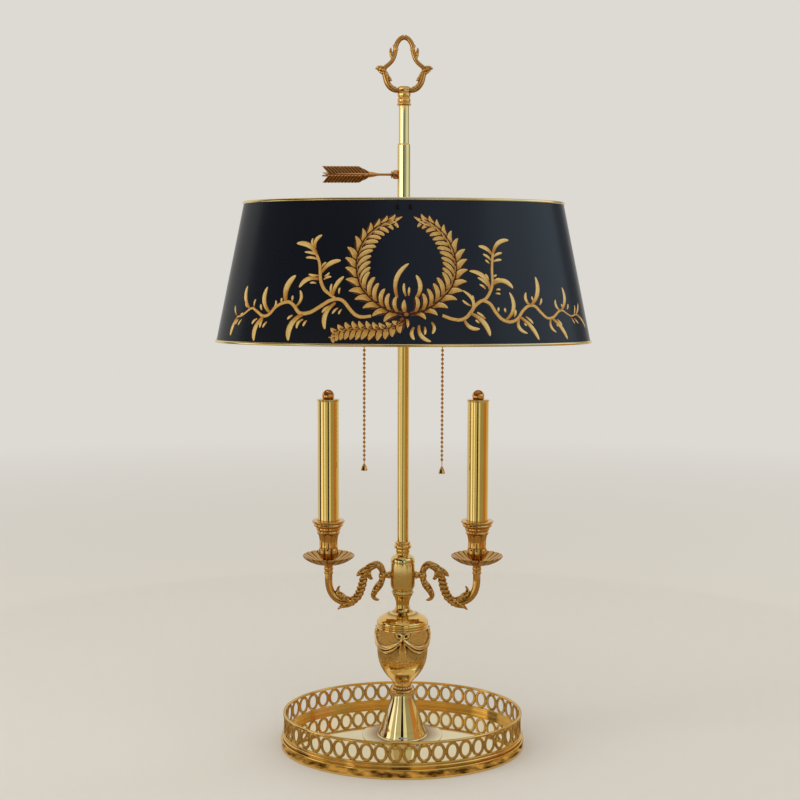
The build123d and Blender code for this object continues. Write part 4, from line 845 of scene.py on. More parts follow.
def arm(facing):
    """The grids of one arm, drawn on the +X side and mirrored by facing."""
    tube_rows = [
        (77, 184, 3.9, 3.9), (76.9, 174, 3.9, 3.9), (75.7, 166.4, 3.9, 3.9), (73, 160.4, 3.9, 3.9),
        (68.8, 155.9, 3.9, 3.9), (63.8, 153.2, 3.9, 3.9), (58.5, 152.2, 3.8, 3.8), (53, 153.4, 3.6, 3.6)
    ]
    rope_rows = [
        (54.5, 152.6, 3.5, 3.5), (49.8, 155.2, 3.9, 3.9), (46.4, 159.2, 4, 4), (44.2, 164, 4, 4),
        (42.4, 169.6, 4, 4), (41.1, 175.4, 3.8, 3.8), (40, 181, 3.3, 3.3)
    ]
    sheath_rows = [
        (20.6, 182, 3.1, 3.2), (21.6, 187, 3.5, 3.8), (24, 190.2, 3.8, 4.1), (27.4, 191.8, 3.8, 4.2),
        (31.4, 190.6, 3.9, 4.3), (35.2, 187.8, 4.2, 4.5), (38.9, 184.3, 4.4, 4.6), (41.9, 180.9, 4.5, 4.8),
        (43, 179.6, 3.4, 4.2)
    ]
    spur_rows = [
        (51, 152.2, 3.4, 3.6), (55.5, 150.6, 3.7, 4.3), (60, 149.2, 3.1, 4), (64, 147.2, 2, 3),
        (67.6, 144.2, 0.5, 0.7)
    ]
    curl_rows = [
        (55.5, 155.2, 2.4, 3.4), (60, 156, 3.4, 4), (64, 158, 3.8, 4.1), (67.2, 161.6, 3.2, 3.6),
        (67.4, 165.2, 1.8, 2.3), (66.6, 167.6, 1.2, 1.5), (65, 169, 0.4, 0.5)
    ]
    tip_rows = [
        (36, 189.6, 1.6, 3.4), (40.5, 186.8, 2.2, 4), (44.2, 183.4, 2.4, 4), (46.6, 180.8, 1.7, 3.2),
        (47.6, 179.6, 0.6, 1.4)
    ]
    hook_rows = [
        (37.5, 186.4, 2.6, 3.8), (35.6, 182.4, 2.8, 3.8), (34.4, 179.2, 2.5, 3.2), (33, 177.4, 1.9, 2.4),
        (31.8, 177.4, 1.1, 1.4), (31.2, 177.8, 0.4, 0.5)
    ]
    tail_rows = [
        (20.5, 179.2, 2.8, 3.2), (22.6, 173, 3.5, 4.4), (26.4, 167.4, 3.7, 4.7), (29.6, 162.2, 3.3, 4.2),
        (30.6, 158.8, 2.4, 3), (29.4, 156.2, 1.9, 2.2), (27, 154.9, 1.5, 1.7), (25.2, 154.6, 1, 1.1),
        (24.4, 154.8, 0.3, 0.3)
    ]
    peg_rows = [
        (9, 181, 2.6, 2.6), (12.6, 181, 2.6, 2.6), (13, 181, 4, 4), (14.4, 181, 4, 4),
        (15.2, 181, 3.3, 3.3), (20, 180.7, 3.4, 3.4)
    ]
    neck_rows = [
        (0, 182, 0), (4.2, 182, 0.3), (5, 183.2, 0.9), (4.6, 184.8, 0.5), (4.1, 185.4, 0.3),
        (4.2, 186, 0.3), (5, 187.6, 1.1), (4.7, 189.2, 0.5), (4.1, 190, 0.4), (5.4, 191.4, 0.4),
        (0, 191.4, 0)
    ]
    knobs = [(20.8 * facing, 0, 180.4), (53 * facing, 0, 153.5)]
    leafy = (spur_rows, curl_rows, tip_rows, hook_rows, tail_rows)
    return [
        limb(tube_rows, mirror=facing),
        limb(rope_rows, sides=40, steps=14, relief=rope, mirror=facing),
        limb(sheath_rows, sides=56, steps=12, relief=ribbed, mirror=facing),
        *[limb(rows, sides=36, steps=12, relief=lobed, mirror=facing) for rows in leafy],
        limb(peg_rows, mirror=facing),
        grid(turned(outline(neck_rows), 48, (CANDLE_ALONG * facing, 0))),
        balls(knobs, KNOB_RADIUS, rows=17, sides=32),
    ]


# %% Both arms
for side, facing in (("left", -1), ("right", 1)):
    piece(f"scroll_arm_{side}", "stand", cast_brass, [f"arm_{side}"], *arm(facing), sharp_degrees=60)

# %% [markdown]
# ## Candles
# A fluted drip pan, a moulded cup with a calyx of leaves, a tall polished tube, a cap and a ball stand
# on each arm. Fluting is a turned surface whose radius and height follow the size of a cosine, so its
# lobes are round outside and its valleys are crisp.

# %% Pans, cups, tubes, caps and balls
PAN_LOBES = 22
CUP_PETALS = 8
CUP_FLUTES = 8
PAN_SIDES, CUP_SIDES, CUP_ROWS = 336, 192, 190
PAN_ROOT, PAN_SPREAD = 9, 18
CALYX_LOW, CALYX_HIGH, FLUTE_LOW, FLUTE_HIGH, FRINGE_LOW, FRINGE_HIGH = 1, 16.4, 19, 32, 30, 33.4
CUP_CARVED_RADIUS = 4.5
pan_rows = [
    (0, 0, 0), (6.4, 0, 0.5), (8, 0.8, 1), (13, 1.6, 3), (18.5, 3.8, 4), (23.4, 6.6, 3), (26.6, 9, 1),
    (27, 9.8, 0.4), (26.3, 10.5, 0.4), (22.6, 8.2, 3), (18, 5.6, 4), (12, 3.2, 3), (7, 2.2, 0.5), (0, 2, 0)
]
cup_rows = [
    (0, 0, 0), (4.4, 0, 0.4), (5, 2.2, 1.2), (8.6, 5.6, 3), (10.7, 10, 3), (10.3, 14.6, 2),
    (9.2, 16.6, 0.6), (9.6, 17.6, 0.4), (9.3, 19, 0.5), (9.3, 25, 5), (10.3, 30.6, 3), (11.3, 33, 0.6),
    (11.8, 33.8, 0.4), (11.2, 34.8, 0.4), (12.2, 35.6, 0.4), (13, 36.8, 0.9), (12.6, 38.2, 0.5),
    (13.4, 38.8, 0.3), (15, 39.8, 0.7), (15.5, 41, 0.9), (14.8, 42.2, 0.5), (15, 42.8, 0.3),
    (16.6, 43.6, 0.6), (17, 44.6, 0.6), (16.4, 45.5, 0.4), (11.4, 45.5, 0.3), (11.2, 42, 0.2), (0, 42, 0)
]
tube_rows = [(0, 0, 0), (11, 0, 0.3), (11, 129, 0.5), (0, 129, 0)]
cap_rows = [
    (0, 0, 0), (9.8, 0, 0.3), (9.8, 4, 0.2), (11.4, 4, 0.3), (11.7, 4.6, 0.4), (11.6, 5.6, 0.5),
    (10.6, 6, 0.3), (0, 6.1, 0)
]
ball_rise = np.linspace(-math.pi / 6, math.pi / 2, 24)

for side in ("left", "right"):
    curve, centre = fitted(f"drip_pan_{side}", pan_rows, steps=8)
    angle = around(PAN_SIDES)[None]
    share = np.clip((curve[:, :1] - PAN_ROOT) / PAN_SPREAD, 0, 1)
    valley = np.exp(-((np.cos(PAN_LOBES / 2 * angle) / 0.3) ** 2))
    pan = turned(curve, PAN_SIDES, centre, 1 - 0.02 * share * valley)
    pan[..., 2] -= 0.9 * share * valley
    # The flute valleys get a lower tone, more so outwards: painted shade, over some tarnish.
    pan_valley_shade = np.clip(0.8 - 0.8 * valley * np.minimum(1, 2 * share), 0, 1)
    piece(
        f"pan_{side}", "stand", cast_brass, [f"drip_pan_{side}"], grid(pan, tone=pan_valley_shade), sharp_degrees=70
    )

    curve, centre = fitted(f"candle_cup_{side}", cup_rows)
    curve = even(curve, CUP_ROWS)
    angle = around(CUP_SIDES)[None]
    rise = curve[:, 1:2] - curve[:, 1].min()
    outside = curve[:, :1] > CUP_CARVED_RADIUS
    calyx = np.clip((rise - CALYX_LOW) / 2, 0, 1) * np.clip((CALYX_HIGH - rise) / 1.2, 0, 1) * outside
    flute = np.clip((rise - FLUTE_LOW) / 2, 0, 1) * np.clip((FLUTE_HIGH - rise) / 2, 0, 1) * outside
    petal = 1 - np.abs(np.cos(CUP_PETALS / 2 * angle)) ** 0.6
    groove = np.exp(-((np.cos(CUP_FLUTES / 2 * angle) / 0.28) ** 2))
    scallop = FRINGE_LOW + 2 * np.abs(np.cos(CUP_FLUTES / 2 * angle))
    fringe = np.clip((rise - scallop) / 0.5, 0, 1) * np.clip((FRINGE_HIGH - rise) / 0.4, 0, 1)
    sunk = 0.16 * calyx * petal + 0.07 * flute * groove - 0.07 * fringe * outside
    # Carved-in places get a lower tone: painted shade, over some tarnish.
    cup_carving_shade = np.clip(1 - 5.5 * sunk, 0, 1)
    cup = turned(curve, CUP_SIDES, centre, 1 - sunk)
    piece(
        f"cup_{side}", "stand", cast_brass, [f"candle_cup_{side}"], grid(cup, tone=cup_carving_shade),
        sharp_degrees=70
    )

    turned_piece(f"candle_{side}", f"candle_tube_{side}", turned_brass, tube_rows, sides=96)
    turned_piece(f"cap_{side}", f"candle_cap_{side}", turned_brass, cap_rows, sides=80)
    middle, half = place(f"candle_ball_{side}")
    low = middle[2] - half[2]
    radius = half[2] * 2 / 1.5
    ball_curve = np.stack([radius * np.cos(ball_rise), low + radius * (np.sin(ball_rise) + 0.5)], 1)
    ball_curve = np.concatenate([[(0, low)], ball_curve])
    piece(
        f"ball_{side}", "stand", brown_brass, [f"candle_ball_{side}"],
        grid(turned(ball_curve, 48, middle[:2]))
    )

# %% [markdown]
# ## Lampholders and bulbs
# The shade hides two lampholders that lie end to end on a cluster body. They are turned pieces too, on
# an axis along X, so the same outlines are spun and then laid down by swapping the height for the
# length.


# %% Lying pieces
def lying(node, rows, sides=72, hollow=False):
    """An outline (radius, length), scaled to a node that lies along X, with its start towards the column.

    A hollow outline is a closed loop.
    """
    middle, half = place(node)
    curve = outline(rows)
    facing = math.copysign(1, middle[0])
    run = (curve[:, 1] - curve[:, 1].min()) / np.ptp(curve[:, 1]) * 2 * half[0]
    spun = turned(np.stack([curve[:, 0] / curve[:, 0].max() * half[1], run], 1), sides)
    start = middle[0] - facing * half[0]
    laid = np.stack([start + facing * spun[..., 2], middle[1] + spun[..., 0], middle[2] + spun[..., 1]], -1)
    return grid(laid, wrap_rows=hollow)


holder_cap_rows = [
    (0, 0, 0), (9, 0, 0.5), (11, 0.6, 1), (14.6, 3, 3), (16, 8, 3), (16, 22, 0.5), (16.5, 22.6, 0.4),
    (16.5, 24.4, 0.4), (16, 25, 0.3), (0, 25, 0)
]
shell_rows = [
    (15.7, 0, 0.2), (16.1, 0, 0.2), (16.1, 3, 0.5), (16.5, 4, 0.5), (16.1, 5, 0.5), (16.1, 29.6, 0.4),
    (16.5, 30.4, 0.5), (16.5, 32, 0.5), (15.7, 32, 0.2), (15.4, 16, 0.2)
]
insulator_rows = [(0, 0, 0), (15.6, 0, 0.3), (15.6, 32, 0.4), (12.8, 32, 0.4), (12.8, 6, 0.3), (0, 6, 0)]
base_rows = [(0, 0, 0), (3, 0, 0.6), (9.6, 2, 0.6), (12.2, 3.2, 0.4)]
for thread in range(5):
    base_rows += [(12.6, 5 + 3.6 * thread, 0.9), (11.9, 6.8 + 3.6 * thread, 0.9)]
base_rows += [(12.4, 23.4, 0.4), (12.4, 24, 0.2), (0, 24, 0)]
bulb_outer = [
    (11.8, 0, 0.5), (12.3, 7, 4), (14.6, 15, 5), (20.6, 24, 6), (22.8, 33, 7), (21.4, 43, 7), (14.6, 51, 6),
    (7, 54, 5)
]
bulb_inner = [(radius - 0.8, run - 0.6 if run else 0, soft) for radius, run, soft in reversed(bulb_outer)]
bulb_rows = [*bulb_outer, (0, 54, 0), (0, 53.2, 0), *bulb_inner]
guide_rows = [
    (2.2, 0, 0.2), (3.2, 0, 0.3), (3.6, 0.8, 0.5), (3.6, 2, 0.4), (3.2, 2.6, 0.4), (3.2, 22.5, 0.2),
    (2.2, 22.5, 0.2)
]
# Piece, node, finish, outline, whether the outline is a closed loop
lying_pieces = (
    ("holder_cap", "socket_cap", turned_brass, holder_cap_rows, False),
    ("holder_shell", "socket_shell", turned_brass, shell_rows, True),
    ("insulator", "socket_insulator", phenolic, insulator_rows, False),
    ("bulb_cap", "bulb_base", cap_metal, base_rows, False),
    ("bulb", "bulb_glass", glass, bulb_rows, True),
)
for side in ("left", "right"):
    for name, node, finish, rows, hollow in lying_pieces:
        laid = lying(f"{node}_{side}", rows, hollow=hollow)
        piece(f"{name}_{side}", "stand", finish, [f"{node}_{side}"], laid)
    curve, centre = fitted(f"chain_guide_{side}", guide_rows)
    guide = grid(turned(curve, 40, centre), wrap_rows=True)
    piece(f"guide_{side}", "stand", turned_brass, [f"chain_guide_{side}"], guide)

# %% Cluster, rod, sleeve and ring nut
CLUSTER_RADIUS, CLUSTER_BELT = 14, 14.4
cluster_middle, cluster_half = place("cluster_body")
cluster_rows = [
    (0, 0, 0), (8, 0, 0.4), (12.4, 1.4, 1.5), (14, 5, 2.5), (14, 13, 0.6), (14.4, 13.6, 0.4),
    (14.4, 16.4, 0.4), (14, 17, 0.6), (14, 25, 2.5), (12.4, 28.6, 1.5), (8, 30, 0.4), (0, 30, 0)
]
cluster_curve = outline(cluster_rows)
cluster_curve[:, 1] += cluster_middle[2] - cluster_half[2]
cluster_curve[:, 0] *= CLUSTER_RADIUS / CLUSTER_BELT
branch = turned(outline([(0, -20, 0), (6, -20, 0.4), (6, 20, 0.4), (0, 20, 0)]), 40)
branch = np.stack([branch[..., 2], branch[..., 0], branch[..., 1] + cluster_middle[2]], -1)
piece("cluster", "stand", turned_brass, ["cluster_body"], grid(turned(cluster_curve, 80)), grid(branch))
rod_rows = [(0, 0, 0), (5.2, 0, 0.2), (5.2, 185, 0.2), (0, 185, 0)]
turned_piece("rod", "top_rod", turned_brass, rod_rows, sides=64)
sleeve_rows = [
    (5.3, 0, 0.2), (6.5, 0, 0.3), (6.5, 9.8, 0.2), (9.2, 10.2, 0.4), (9.5, 11.4, 0.7), (9.2, 12.6, 0.4),
    (6.5, 13, 0.3), (6.5, 74.6, 0.4), (6.1, 76, 0.3), (5.3, 76, 0.2)
]
sleeve_curve = fitted("shade_sleeve", sleeve_rows)[0]
piece("sleeve", "sleeve", turned_brass, ["shade_sleeve"], grid(turned(sleeve_curve, 72), wrap_rows=True))
NUT_NOTCHES, NUT_SIDES = 36, 216
nut_middle, nut_half = place("crossbar_nut")
nut_curve = outline(
    [(6.7, 0, 0.2), (9, 0, 0.3), (9.5, 0.8, 0.4), (9.5, 4.2, 0.4), (9, 5, 0.3), (6.7, 5, 0.2)], closed=True
)
nut_curve[:, 1] += nut_middle[2] - nut_half[2]
notches = 1 - 0.03 * (0.5 + 0.5 * np.cos(NUT_NOTCHES * around(NUT_SIDES)[None]))
knurl = np.where(nut_curve[:, :1] > 9.2, notches, 1)
nut_grid = grid(turned(nut_curve, NUT_SIDES, swell=knurl), wrap_rows=True)
piece("ring_nut", "sleeve", turned_brass, ["crossbar_nut"], nut_grid)

# %% [markdown]
# ## Ring finial
# The finial is an open ring with a foot, cast with leaves: a thick double-ridged bowl, a horn on each
# side, an ogee and a pointed arch with a knot at each shoulder. Half of it is written down as limbs,
# and mirrored.


# %% Collar of the finial
def grooved(length, angle):
    """Two ridges along a cast limb, parted by a groove on each face."""
    ridges = 0.13 * np.cos(2 * angle) ** 2
    groove = 0.2 * np.exp(-(((np.abs(np.sin(angle)) - 1) / 0.03) ** 2))
    return ridges - groove + 0 * length


finial_rows = [
    (0, 0, 0), (2.9, 0, 0.2), (2.9, 6, 0.2), (6, 6, 0.3), (7.3, 6.8, 0.6), (7.3, 8, 0.5), (6.3, 8.6, 0.3),
    (6.2, 9.4, 0.3), (6.7, 10.2, 0.4), (6.7, 12.6, 0.7), (5.9, 13.6, 0.4), (6, 14.4, 0.4), (6.6, 15.6, 0.6),
    (6.7, 18, 0.7), (6.1, 19.5, 0.4), (0, 19.5, 0)
]
turned_piece("finial_foot", "finial_collar", cast_brass, finial_rows, sides=72)

# %% Ring of the finial
ring_middle, ring_half = place("ring_finial")
ring_low = ring_middle[2] - ring_half[2]
bowl_rows = [
    (0, 2, 2.3, 2.6), (5, 1.9, 2.3, 2.6), (9.6, 2.3, 2.4, 2.7), (14, 5.1, 2.7, 2.9), (16.9, 9.6, 2.8, 2.9),
    (18.6, 14.6, 2.6, 2.7), (19.8, 19.4, 2.3, 2.4), (20.6, 22.4, 1.8, 2)
]
ogee_rows = [
    (21.6, 22.6, 1.6, 1.8), (19, 24.6, 1.9, 2.1), (15.6, 27.2, 1.9, 2.1), (12.4, 30.4, 1.9, 2.1),
    (10.2, 34.4, 1.9, 2.1), (9, 39.2, 2, 2.2), (8.5, 43.4, 2.1, 2.3), (7.2, 48, 2.2, 2.4),
    (4, 52.2, 2.2, 2.4), (0, 54.2, 2.3, 2.5)
]
horn_rows = [
    (18.6, 20.6, 2.4, 2.6), (21.8, 22.8, 2.9, 3), (25, 23.8, 2.6, 2.8), (27.4, 23.4, 1.6, 1.8),
    (28.8, 22.8, 0.3, 0.4)
]
under_rows = [(20.4, 18, 1.6, 2.2), (22.8, 19.8, 1.7, 2.2), (25, 20.8, 1.2, 1.6), (26.8, 21, 0.3, 0.5)]
cusp_rows = [
    (18, 20, 1.2, 1.6), (16.6, 16.4, 1.8, 2.1), (14.8, 13.6, 1.7, 2), (13.2, 12, 1.1, 1.3),
    (12, 11.6, 0.3, 0.4)
]
lower_cusp_rows = [(15.6, 8.6, 1.6, 2), (13, 6.2, 1.9, 2.2), (10.6, 4.8, 1.5, 1.8), (8, 5, 0.4, 0.6)]
ear_rows = [
    (11.4, 32.6, 1.2, 1.5), (12.6, 36, 1.8, 2), (13.3, 39.6, 1.7, 1.9), (13.5, 42.2, 1, 1.2),
    (13.1, 43.8, 0.3, 0.4)
]
brow_rows = [(8.2, 43.2, 1.8, 2.2), (9.9, 44.9, 1.5, 1.8), (11.2, 46.4, 0.4, 0.5)]
carved = (
    (grooved, (bowl_rows, ogee_rows)),
    (lobed, (horn_rows, under_rows, cusp_rows, lower_cusp_rows, ear_rows, brow_rows)),
)
ring_grids = []
for facing in (-1, 1):
    for relief, group in carved:
        for rows in group:
            lifted = [(x, z + ring_low, thick, wide) for x, z, thick, wide in rows]
            ring_grids.append(limb(lifted, sides=32, steps=10, relief=relief, mirror=facing))
knot_places = [(8.4 * facing, 0, ring_low + 42.2) for facing in (-1, 1)]
boss_curve = outline(
    [(0, 0, 0), (6.2, 0, 0.4), (6.5, 1.4, 0.8), (7.1, 3.6, 1), (6.4, 5.2, 0.8), (3.4, 5.8, 1), (0, 6, 0)]
)
boss_curve[:, 1] += ring_low
BOSS_SIDES = 64
petals = 1 - 0.1 * np.abs(np.sin(4 * around(BOSS_SIDES)))
ring_grids += [
    balls(knot_places, 2.7, rows=15, sides=24), grid(turned(boss_curve, BOSS_SIDES, swell=petals))
]
piece("finial_ring", "stand", cast_brass, ["ring_finial"], *ring_grids, sharp_degrees=60)

# %% [markdown]
# ## Shade
# The shade is sheet metal rolled into an oval cone, black outside and gold inside, with a half-round
# brass bead on each edge. Its surface is straight from bottom to top, so a place on it needs only two
# numbers: how far along from the middle of the front, and how high. The painted ornament uses the same
# two numbers.

# %% Places on the shade
RIM_OVERHANG = 1.0
SHADE_WALL = 0.9
SHADE_SIDES, WALL_ROWS = 384, 9
low_middle, low_half = place("shade_bottom_rim")
high_middle, high_half = place("shade_top_rim")
panel_middle, panel_rise = place("shade_panel")
low_edge, high_edge = low_middle[2] - low_half[2], high_middle[2] - high_half[2]
mid_half = (low_half + high_half) / 2 - RIM_OVERHANG
dense = np.linspace(-math.pi / 2, math.pi / 2, 4001)
front_line = np.stack([mid_half[0] * np.sin(dense), mid_half[1] * np.cos(dense)], 1)
front_length = np.concatenate([[0], np.cumsum(np.linalg.norm(np.diff(front_line, axis=0), axis=1))])
front_length -= front_length[-1] / 2


def on_shade(along, height, lift=0.0):
    """A place on the front: along it from the middle, above its lower edge, and lifted off the enamel."""
    bearing = np.interp(along, front_length, dense)
    share = height / (high_edge - low_edge)
    half_length = low_half[0] + (high_half[0] - low_half[0]) * share - RIM_OVERHANG
    half_depth = low_half[1] + (high_half[1] - low_half[1]) * share - RIM_OVERHANG
    normal = np.stack([half_depth * np.sin(bearing), half_length * np.cos(bearing)])
    normal = normal / np.linalg.norm(normal, axis=0) * lift
    x, y = half_length * np.sin(bearing) + normal[0], -half_depth * np.cos(bearing) - normal[1]
    return np.stack(np.broadcast_arrays(x, y, low_edge + height), -1)


def shade_row(height, inset):
    """One oval row of the panel at a height, this far inside the rims' outer edge."""
    share = (height - low_edge) / (high_edge - low_edge)
    half = low_half + (high_half - low_half) * share - inset
    return moulded([(1, 0, height)], half[0], half[1], sides=SHADE_SIDES)[0]


# %% Panel and rims
panel_low, panel_high = panel_middle[2] - panel_rise[2], panel_middle[2] + panel_rise[2]
heights = np.linspace(panel_low, panel_high, WALL_ROWS)
walls = [shade_row(height, RIM_OVERHANG) for height in heights]
walls += [shade_row(height, RIM_OVERHANG + SHADE_WALL) for height in heights[::-1]]
panel = piece("shade_sheet", "shade", enamel, ["shade_panel"], grid(np.stack(walls), wrap_rows=True))
panel.data.materials.append(lining)
face_count = len(panel.data.polygons)
centres, normals = np.empty(face_count * 3), np.empty(face_count * 3)
panel.data.polygons.foreach_get("center", centres)
panel.data.polygons.foreach_get("normal", normals)
inward = (centres.reshape(-1, 3) * normals.reshape(-1, 3))[:, :2].sum(axis=1) < 0
panel.data.polygons.foreach_set("material_index", inward.astype(np.int32))
rim_section = [
    (2.7, 0.2, 0.5), (1.4, -0.1, 0.9), (0, 0.4, 0.9), (0, 2.6, 0.9), (1.4, 3.1, 0.9), (2.7, 2.8, 0.5)
]
piece("bottom_bead", "shade", rim_brass, ["shade_bottom_rim"], rim_loop(rim_section, "shade_bottom_rim"))
piece("top_bead", "shade", rim_brass, ["shade_top_rim"], rim_loop(rim_section, "shade_top_rim"))

# %% Screws of the crossbar
SCREW_SPACING = 13
screw_height = place("crossbar_screws")[0][2] - low_edge
head_rise = np.linspace(0, math.pi / 2, 8)
head = np.concatenate([[(0, -0.4)], np.stack([2.6 * np.cos(head_rise), 1.5 * np.sin(head_rise)], 1)])
head_grid = turned(head, 28)
slot_cut = (np.abs(head_grid[..., 0]) < 0.35) & (head_grid[..., 2] > 0.9)
head_grid[..., 2] -= 0.6 * slot_cut
screws = []
for along in (-SCREW_SPACING / 2, SCREW_SPACING / 2):
    foot = on_shade(along, screw_height)
    out = on_shade(along, screw_height, 1.0) - foot
    up = np.cross([1, 0, 0], out)
    screws.append(
        foot + head_grid[..., :1] * [1, 0, 0] + head_grid[..., 1:2] * up + head_grid[..., 2:] * out
    )
screws = np.stack(screws)
screws = np.concatenate([screws, screws * [1, -1, 1]])
piece("shade_screws", "shade", black_screw, ["crossbar_screws"], grid(screws))

# %% [markdown]
# ## Painted ornament
# A laurel wreath, open at the top, with a leafy spray below and wavy branches to both sides, is the
# common gold ornament of such shades. Each stroke is one loaded brush: a leaf is a curved stroke that
# swells and tapers. It is drawn flat in millimetres along and above the shade's lower edge, and laid on
# the enamel as a thin closed film, so it follows the oval from every side. Its tone runs from brown
# glaze at the root to bright gold.


# %% Brush strokes
FILM = 0.22


def strokes(paths, widths, tones, sides=10, film=FILM, tilt=0.0):
    """Films of paint: paths (n, rows, 2) with half widths (n, rows) and tones (n, rows, sides).

    Each row is a loop: across = w cos a, lift = film max(sin a, 0) less a little, so the film is closed
    underneath. A tilt lifts one edge, left of the stroke where it is positive, so that leaves overlap
    like tiles.
    """
    along = np.gradient(paths, axis=1)
    along /= np.maximum(np.linalg.norm(along, axis=-1, keepdims=True), 1e-9)
    across = np.stack([-along[..., 1], along[..., 0]], -1)
    angle = around(sides)
    flat = paths[:, :, None] + (widths[..., None] * np.cos(angle))[..., None] * across[:, :, None]
    tilt = np.broadcast_to(tilt, len(paths))[:, None, None]
    tile = (np.abs(tilt) + tilt * np.cos(angle)) / 2 * (np.sin(angle) > -1e-6)
    lift = np.where(np.sin(angle) > 0, film * np.sin(angle), 0.12 * np.sin(angle)) + tile
    return grid(
        on_shade(flat[..., 0], flat[..., 1], lift * np.minimum(1, widths[..., None] * 3)), tone=tones
    )


def leaves(
    table, rows=16, sides=14, root=0.22, tip=0.92, fullest=1.0, edge=0.25, finger=False, base=0,
    overlap=0.0, film=FILM
):
    """Leaf strokes from rows: root along and up, tip along and up, half width, bend as a share of length.

    The middle line is a parabola that leaves the straight line by the bend. A leaf's width is a sine of
    the share, widest further out when fullest is above 1. A finger keeps its width nearly to the tip,
    and ends round. With a base, the root has that share of the width, and the leaf ends in a point.
    """
    table = np.asarray(table, dtype=float)
    start, end, width, bend = table[:, None, :2], table[:, None, 2:4], table[:, 4:5], table[:, None, 5:6]
    share = (1 - np.cos(np.linspace(0, math.pi, rows)))[None, :, None] / 2
    side = np.stack([-(end - start)[..., 1], (end - start)[..., 0]], -1)
    paths = start + (end - start) * share + side * bend * 4 * share * (1 - share)
    flat_share = share[..., 0]
    if finger:
        end = np.clip((flat_share - 0.55) / 0.45, 0, 1)
        shape = (
            np.sqrt(1 - end**2.4) * (0.6 + 0.4 * np.minimum(1, flat_share / 0.5))
            * np.minimum(1, flat_share / 0.02)
        )
    elif base:
        end = np.clip((flat_share - 0.4) / 0.6, 0, 1)
        shape = (
            (1 - end**1.9) ** 0.8 * (base + (1 - base) * np.minimum(1, flat_share / 0.4))
            * np.minimum(1, flat_share / 0.02)
        )
    else:
        shape = np.clip(np.sin(math.pi * flat_share**fullest), 0, None) ** 0.7
    across = np.cos(around(sides))[None, None]
    tones = root + (tip - root) * np.clip(flat_share * 2, 0, 1)[..., None] - edge * across**6 + 0.1 * across
    tones = np.broadcast_to(tones, (len(table), rows, sides))
    return strokes(paths, width * shape, tones, sides, film, overlap * np.sign(table[:, 5]))


def outlined(table, rim=1.2, overlap=0.7, **brush):
    """Leaves edged with dark glaze: under each lies a thinner film of the same leaf, wider by the rim."""
    table = np.asarray(table, dtype=float)
    glaze = {**brush, "root": 0, "tip": 0, "edge": 0, "film": 0.1}
    under = leaves(table + [0, 0, 0, 0, rim, 0], overlap=overlap, **glaze)
    return under, leaves(table, overlap=overlap, **brush)


def stems(table, width, sides=10, bright=0.8, film=FILM):
    """One long stroke through rows (along, up, share of the width)."""
    curve = through(table, 10)
    widths = width * curve[:, 2]
    tones = np.broadcast_to(bright - 0.2 * np.abs(np.cos(around(sides))) ** 4, (1, len(curve), sides))
    return strokes(curve[None, :, :2], widths[None], tones, sides, film)


# %% Branches of the wreath
wreath_sides = {
    -1: [
        (-1, 31.4), (-13.7, 34.4), (-24.6, 41), (-33.2, 48.6), (-39.6, 55.8), (-44, 66.4), (-45.9, 78.6),
        (-44.6, 88.8), (-40.8, 98.8), (-34, 108.2), (-24, 115.8), (-14, 120.2), (-9, 121.6)
    ],
    1: [
        (6, 31.2), (18.6, 34.6), (29.6, 41.4), (38.2, 49.2), (44.6, 56.4), (49.2, 67), (50.6, 78),
        (49.4, 88), (45.6, 98.6), (38.8, 108.6), (30, 116.4), (22, 120.4), (17.6, 121.6)
    ]
}
RIB_POINTS, RIB_LAST, RIB_STEP = 400, 390, 20
LEAN_PLACES = (0, 0.2, 0.4, 0.55, 0.75, 1)
# Count, side of the rib, reach, leans at the places above, half width: outer leaves, then inner ones
WREATH_LEAVES = (
    (15, 1, 18, (0.85, 1.2, 1.8, 1.4, 3, 4), 3.2),
    (17, -1, 20, (0.2, 0.6, 0.75, 0.75, 0.75, 0.9), 2.5),
)
FIRST_SIZE = {-1: 0.8, 1: 0.55}


def wreath_branch(facing, points):
    """Leaves on both sides of a curved rib: they lean forward along it, and the middle ones are longest."""
    rib = even(through(points, 12), RIB_POINTS)
    forward = np.gradient(rib, axis=0)
    forward /= np.linalg.norm(forward, axis=1, keepdims=True)
    outward = np.stack([forward[:, 1], -forward[:, 0]], 1) * facing
    made = []
    for count, sign, reach, leans, half_width in WREATH_LEAVES:
        share = (np.arange(count) + 0.6) / (count + 0.4)
        index = (share * RIB_LAST).astype(int)
        size = np.interp(share, [0, 0.25, 0.6, 1], [FIRST_SIZE[facing] if sign > 0 else 0.75, 1, 1, 0.62])
        lean = np.interp(share, LEAN_PLACES, leans)[:, None]
        root, step, side = rib[index], forward[index], outward[index] * sign
        tip = root + (side + lean * step) / np.hypot(1, lean) * (reach * size)[:, None]
        bend = np.full(count, 0.16 * facing * sign)
        made.append(np.column_stack([root + side * 0.9, tip, half_width * (0.3 + 0.7 * size), bend]))
    made[0] = np.concatenate([made[0], [[*rib[-50], *(rib[-1] + forward[-1] * 8), 2.3, 0.04 * facing]]])
    return *made, rib


# %% Wreath
wreath_grids = []
for facing, points in wreath_sides.items():
    outer, inner, rib = wreath_branch(facing, points)
    sparse = rib[::RIB_STEP]
    swell = 0.35 + 0.65 * np.sin(math.pi * np.linspace(0.08, 0.95, len(sparse))) ** 0.6
    wash = np.column_stack([sparse, swell])
    wreath_grids.append(stems(wash, 3.4, sides=16, bright=0.3, film=0.07))
    wreath_grids += outlined(outer, root=0.36, tip=0.78, base=0.8, edge=-0.16)
    wreath_grids += outlined(inner, root=0.36, tip=0.8, finger=True, edge=-0.16)
    thin = np.column_stack([sparse, np.linspace(1, 0.55, len(sparse))])
    wreath_grids.append(stems(thin, 1.0, bright=0.05, film=1.5))
piece("wreath", "shade", gold_paint, [], *wreath_grids)

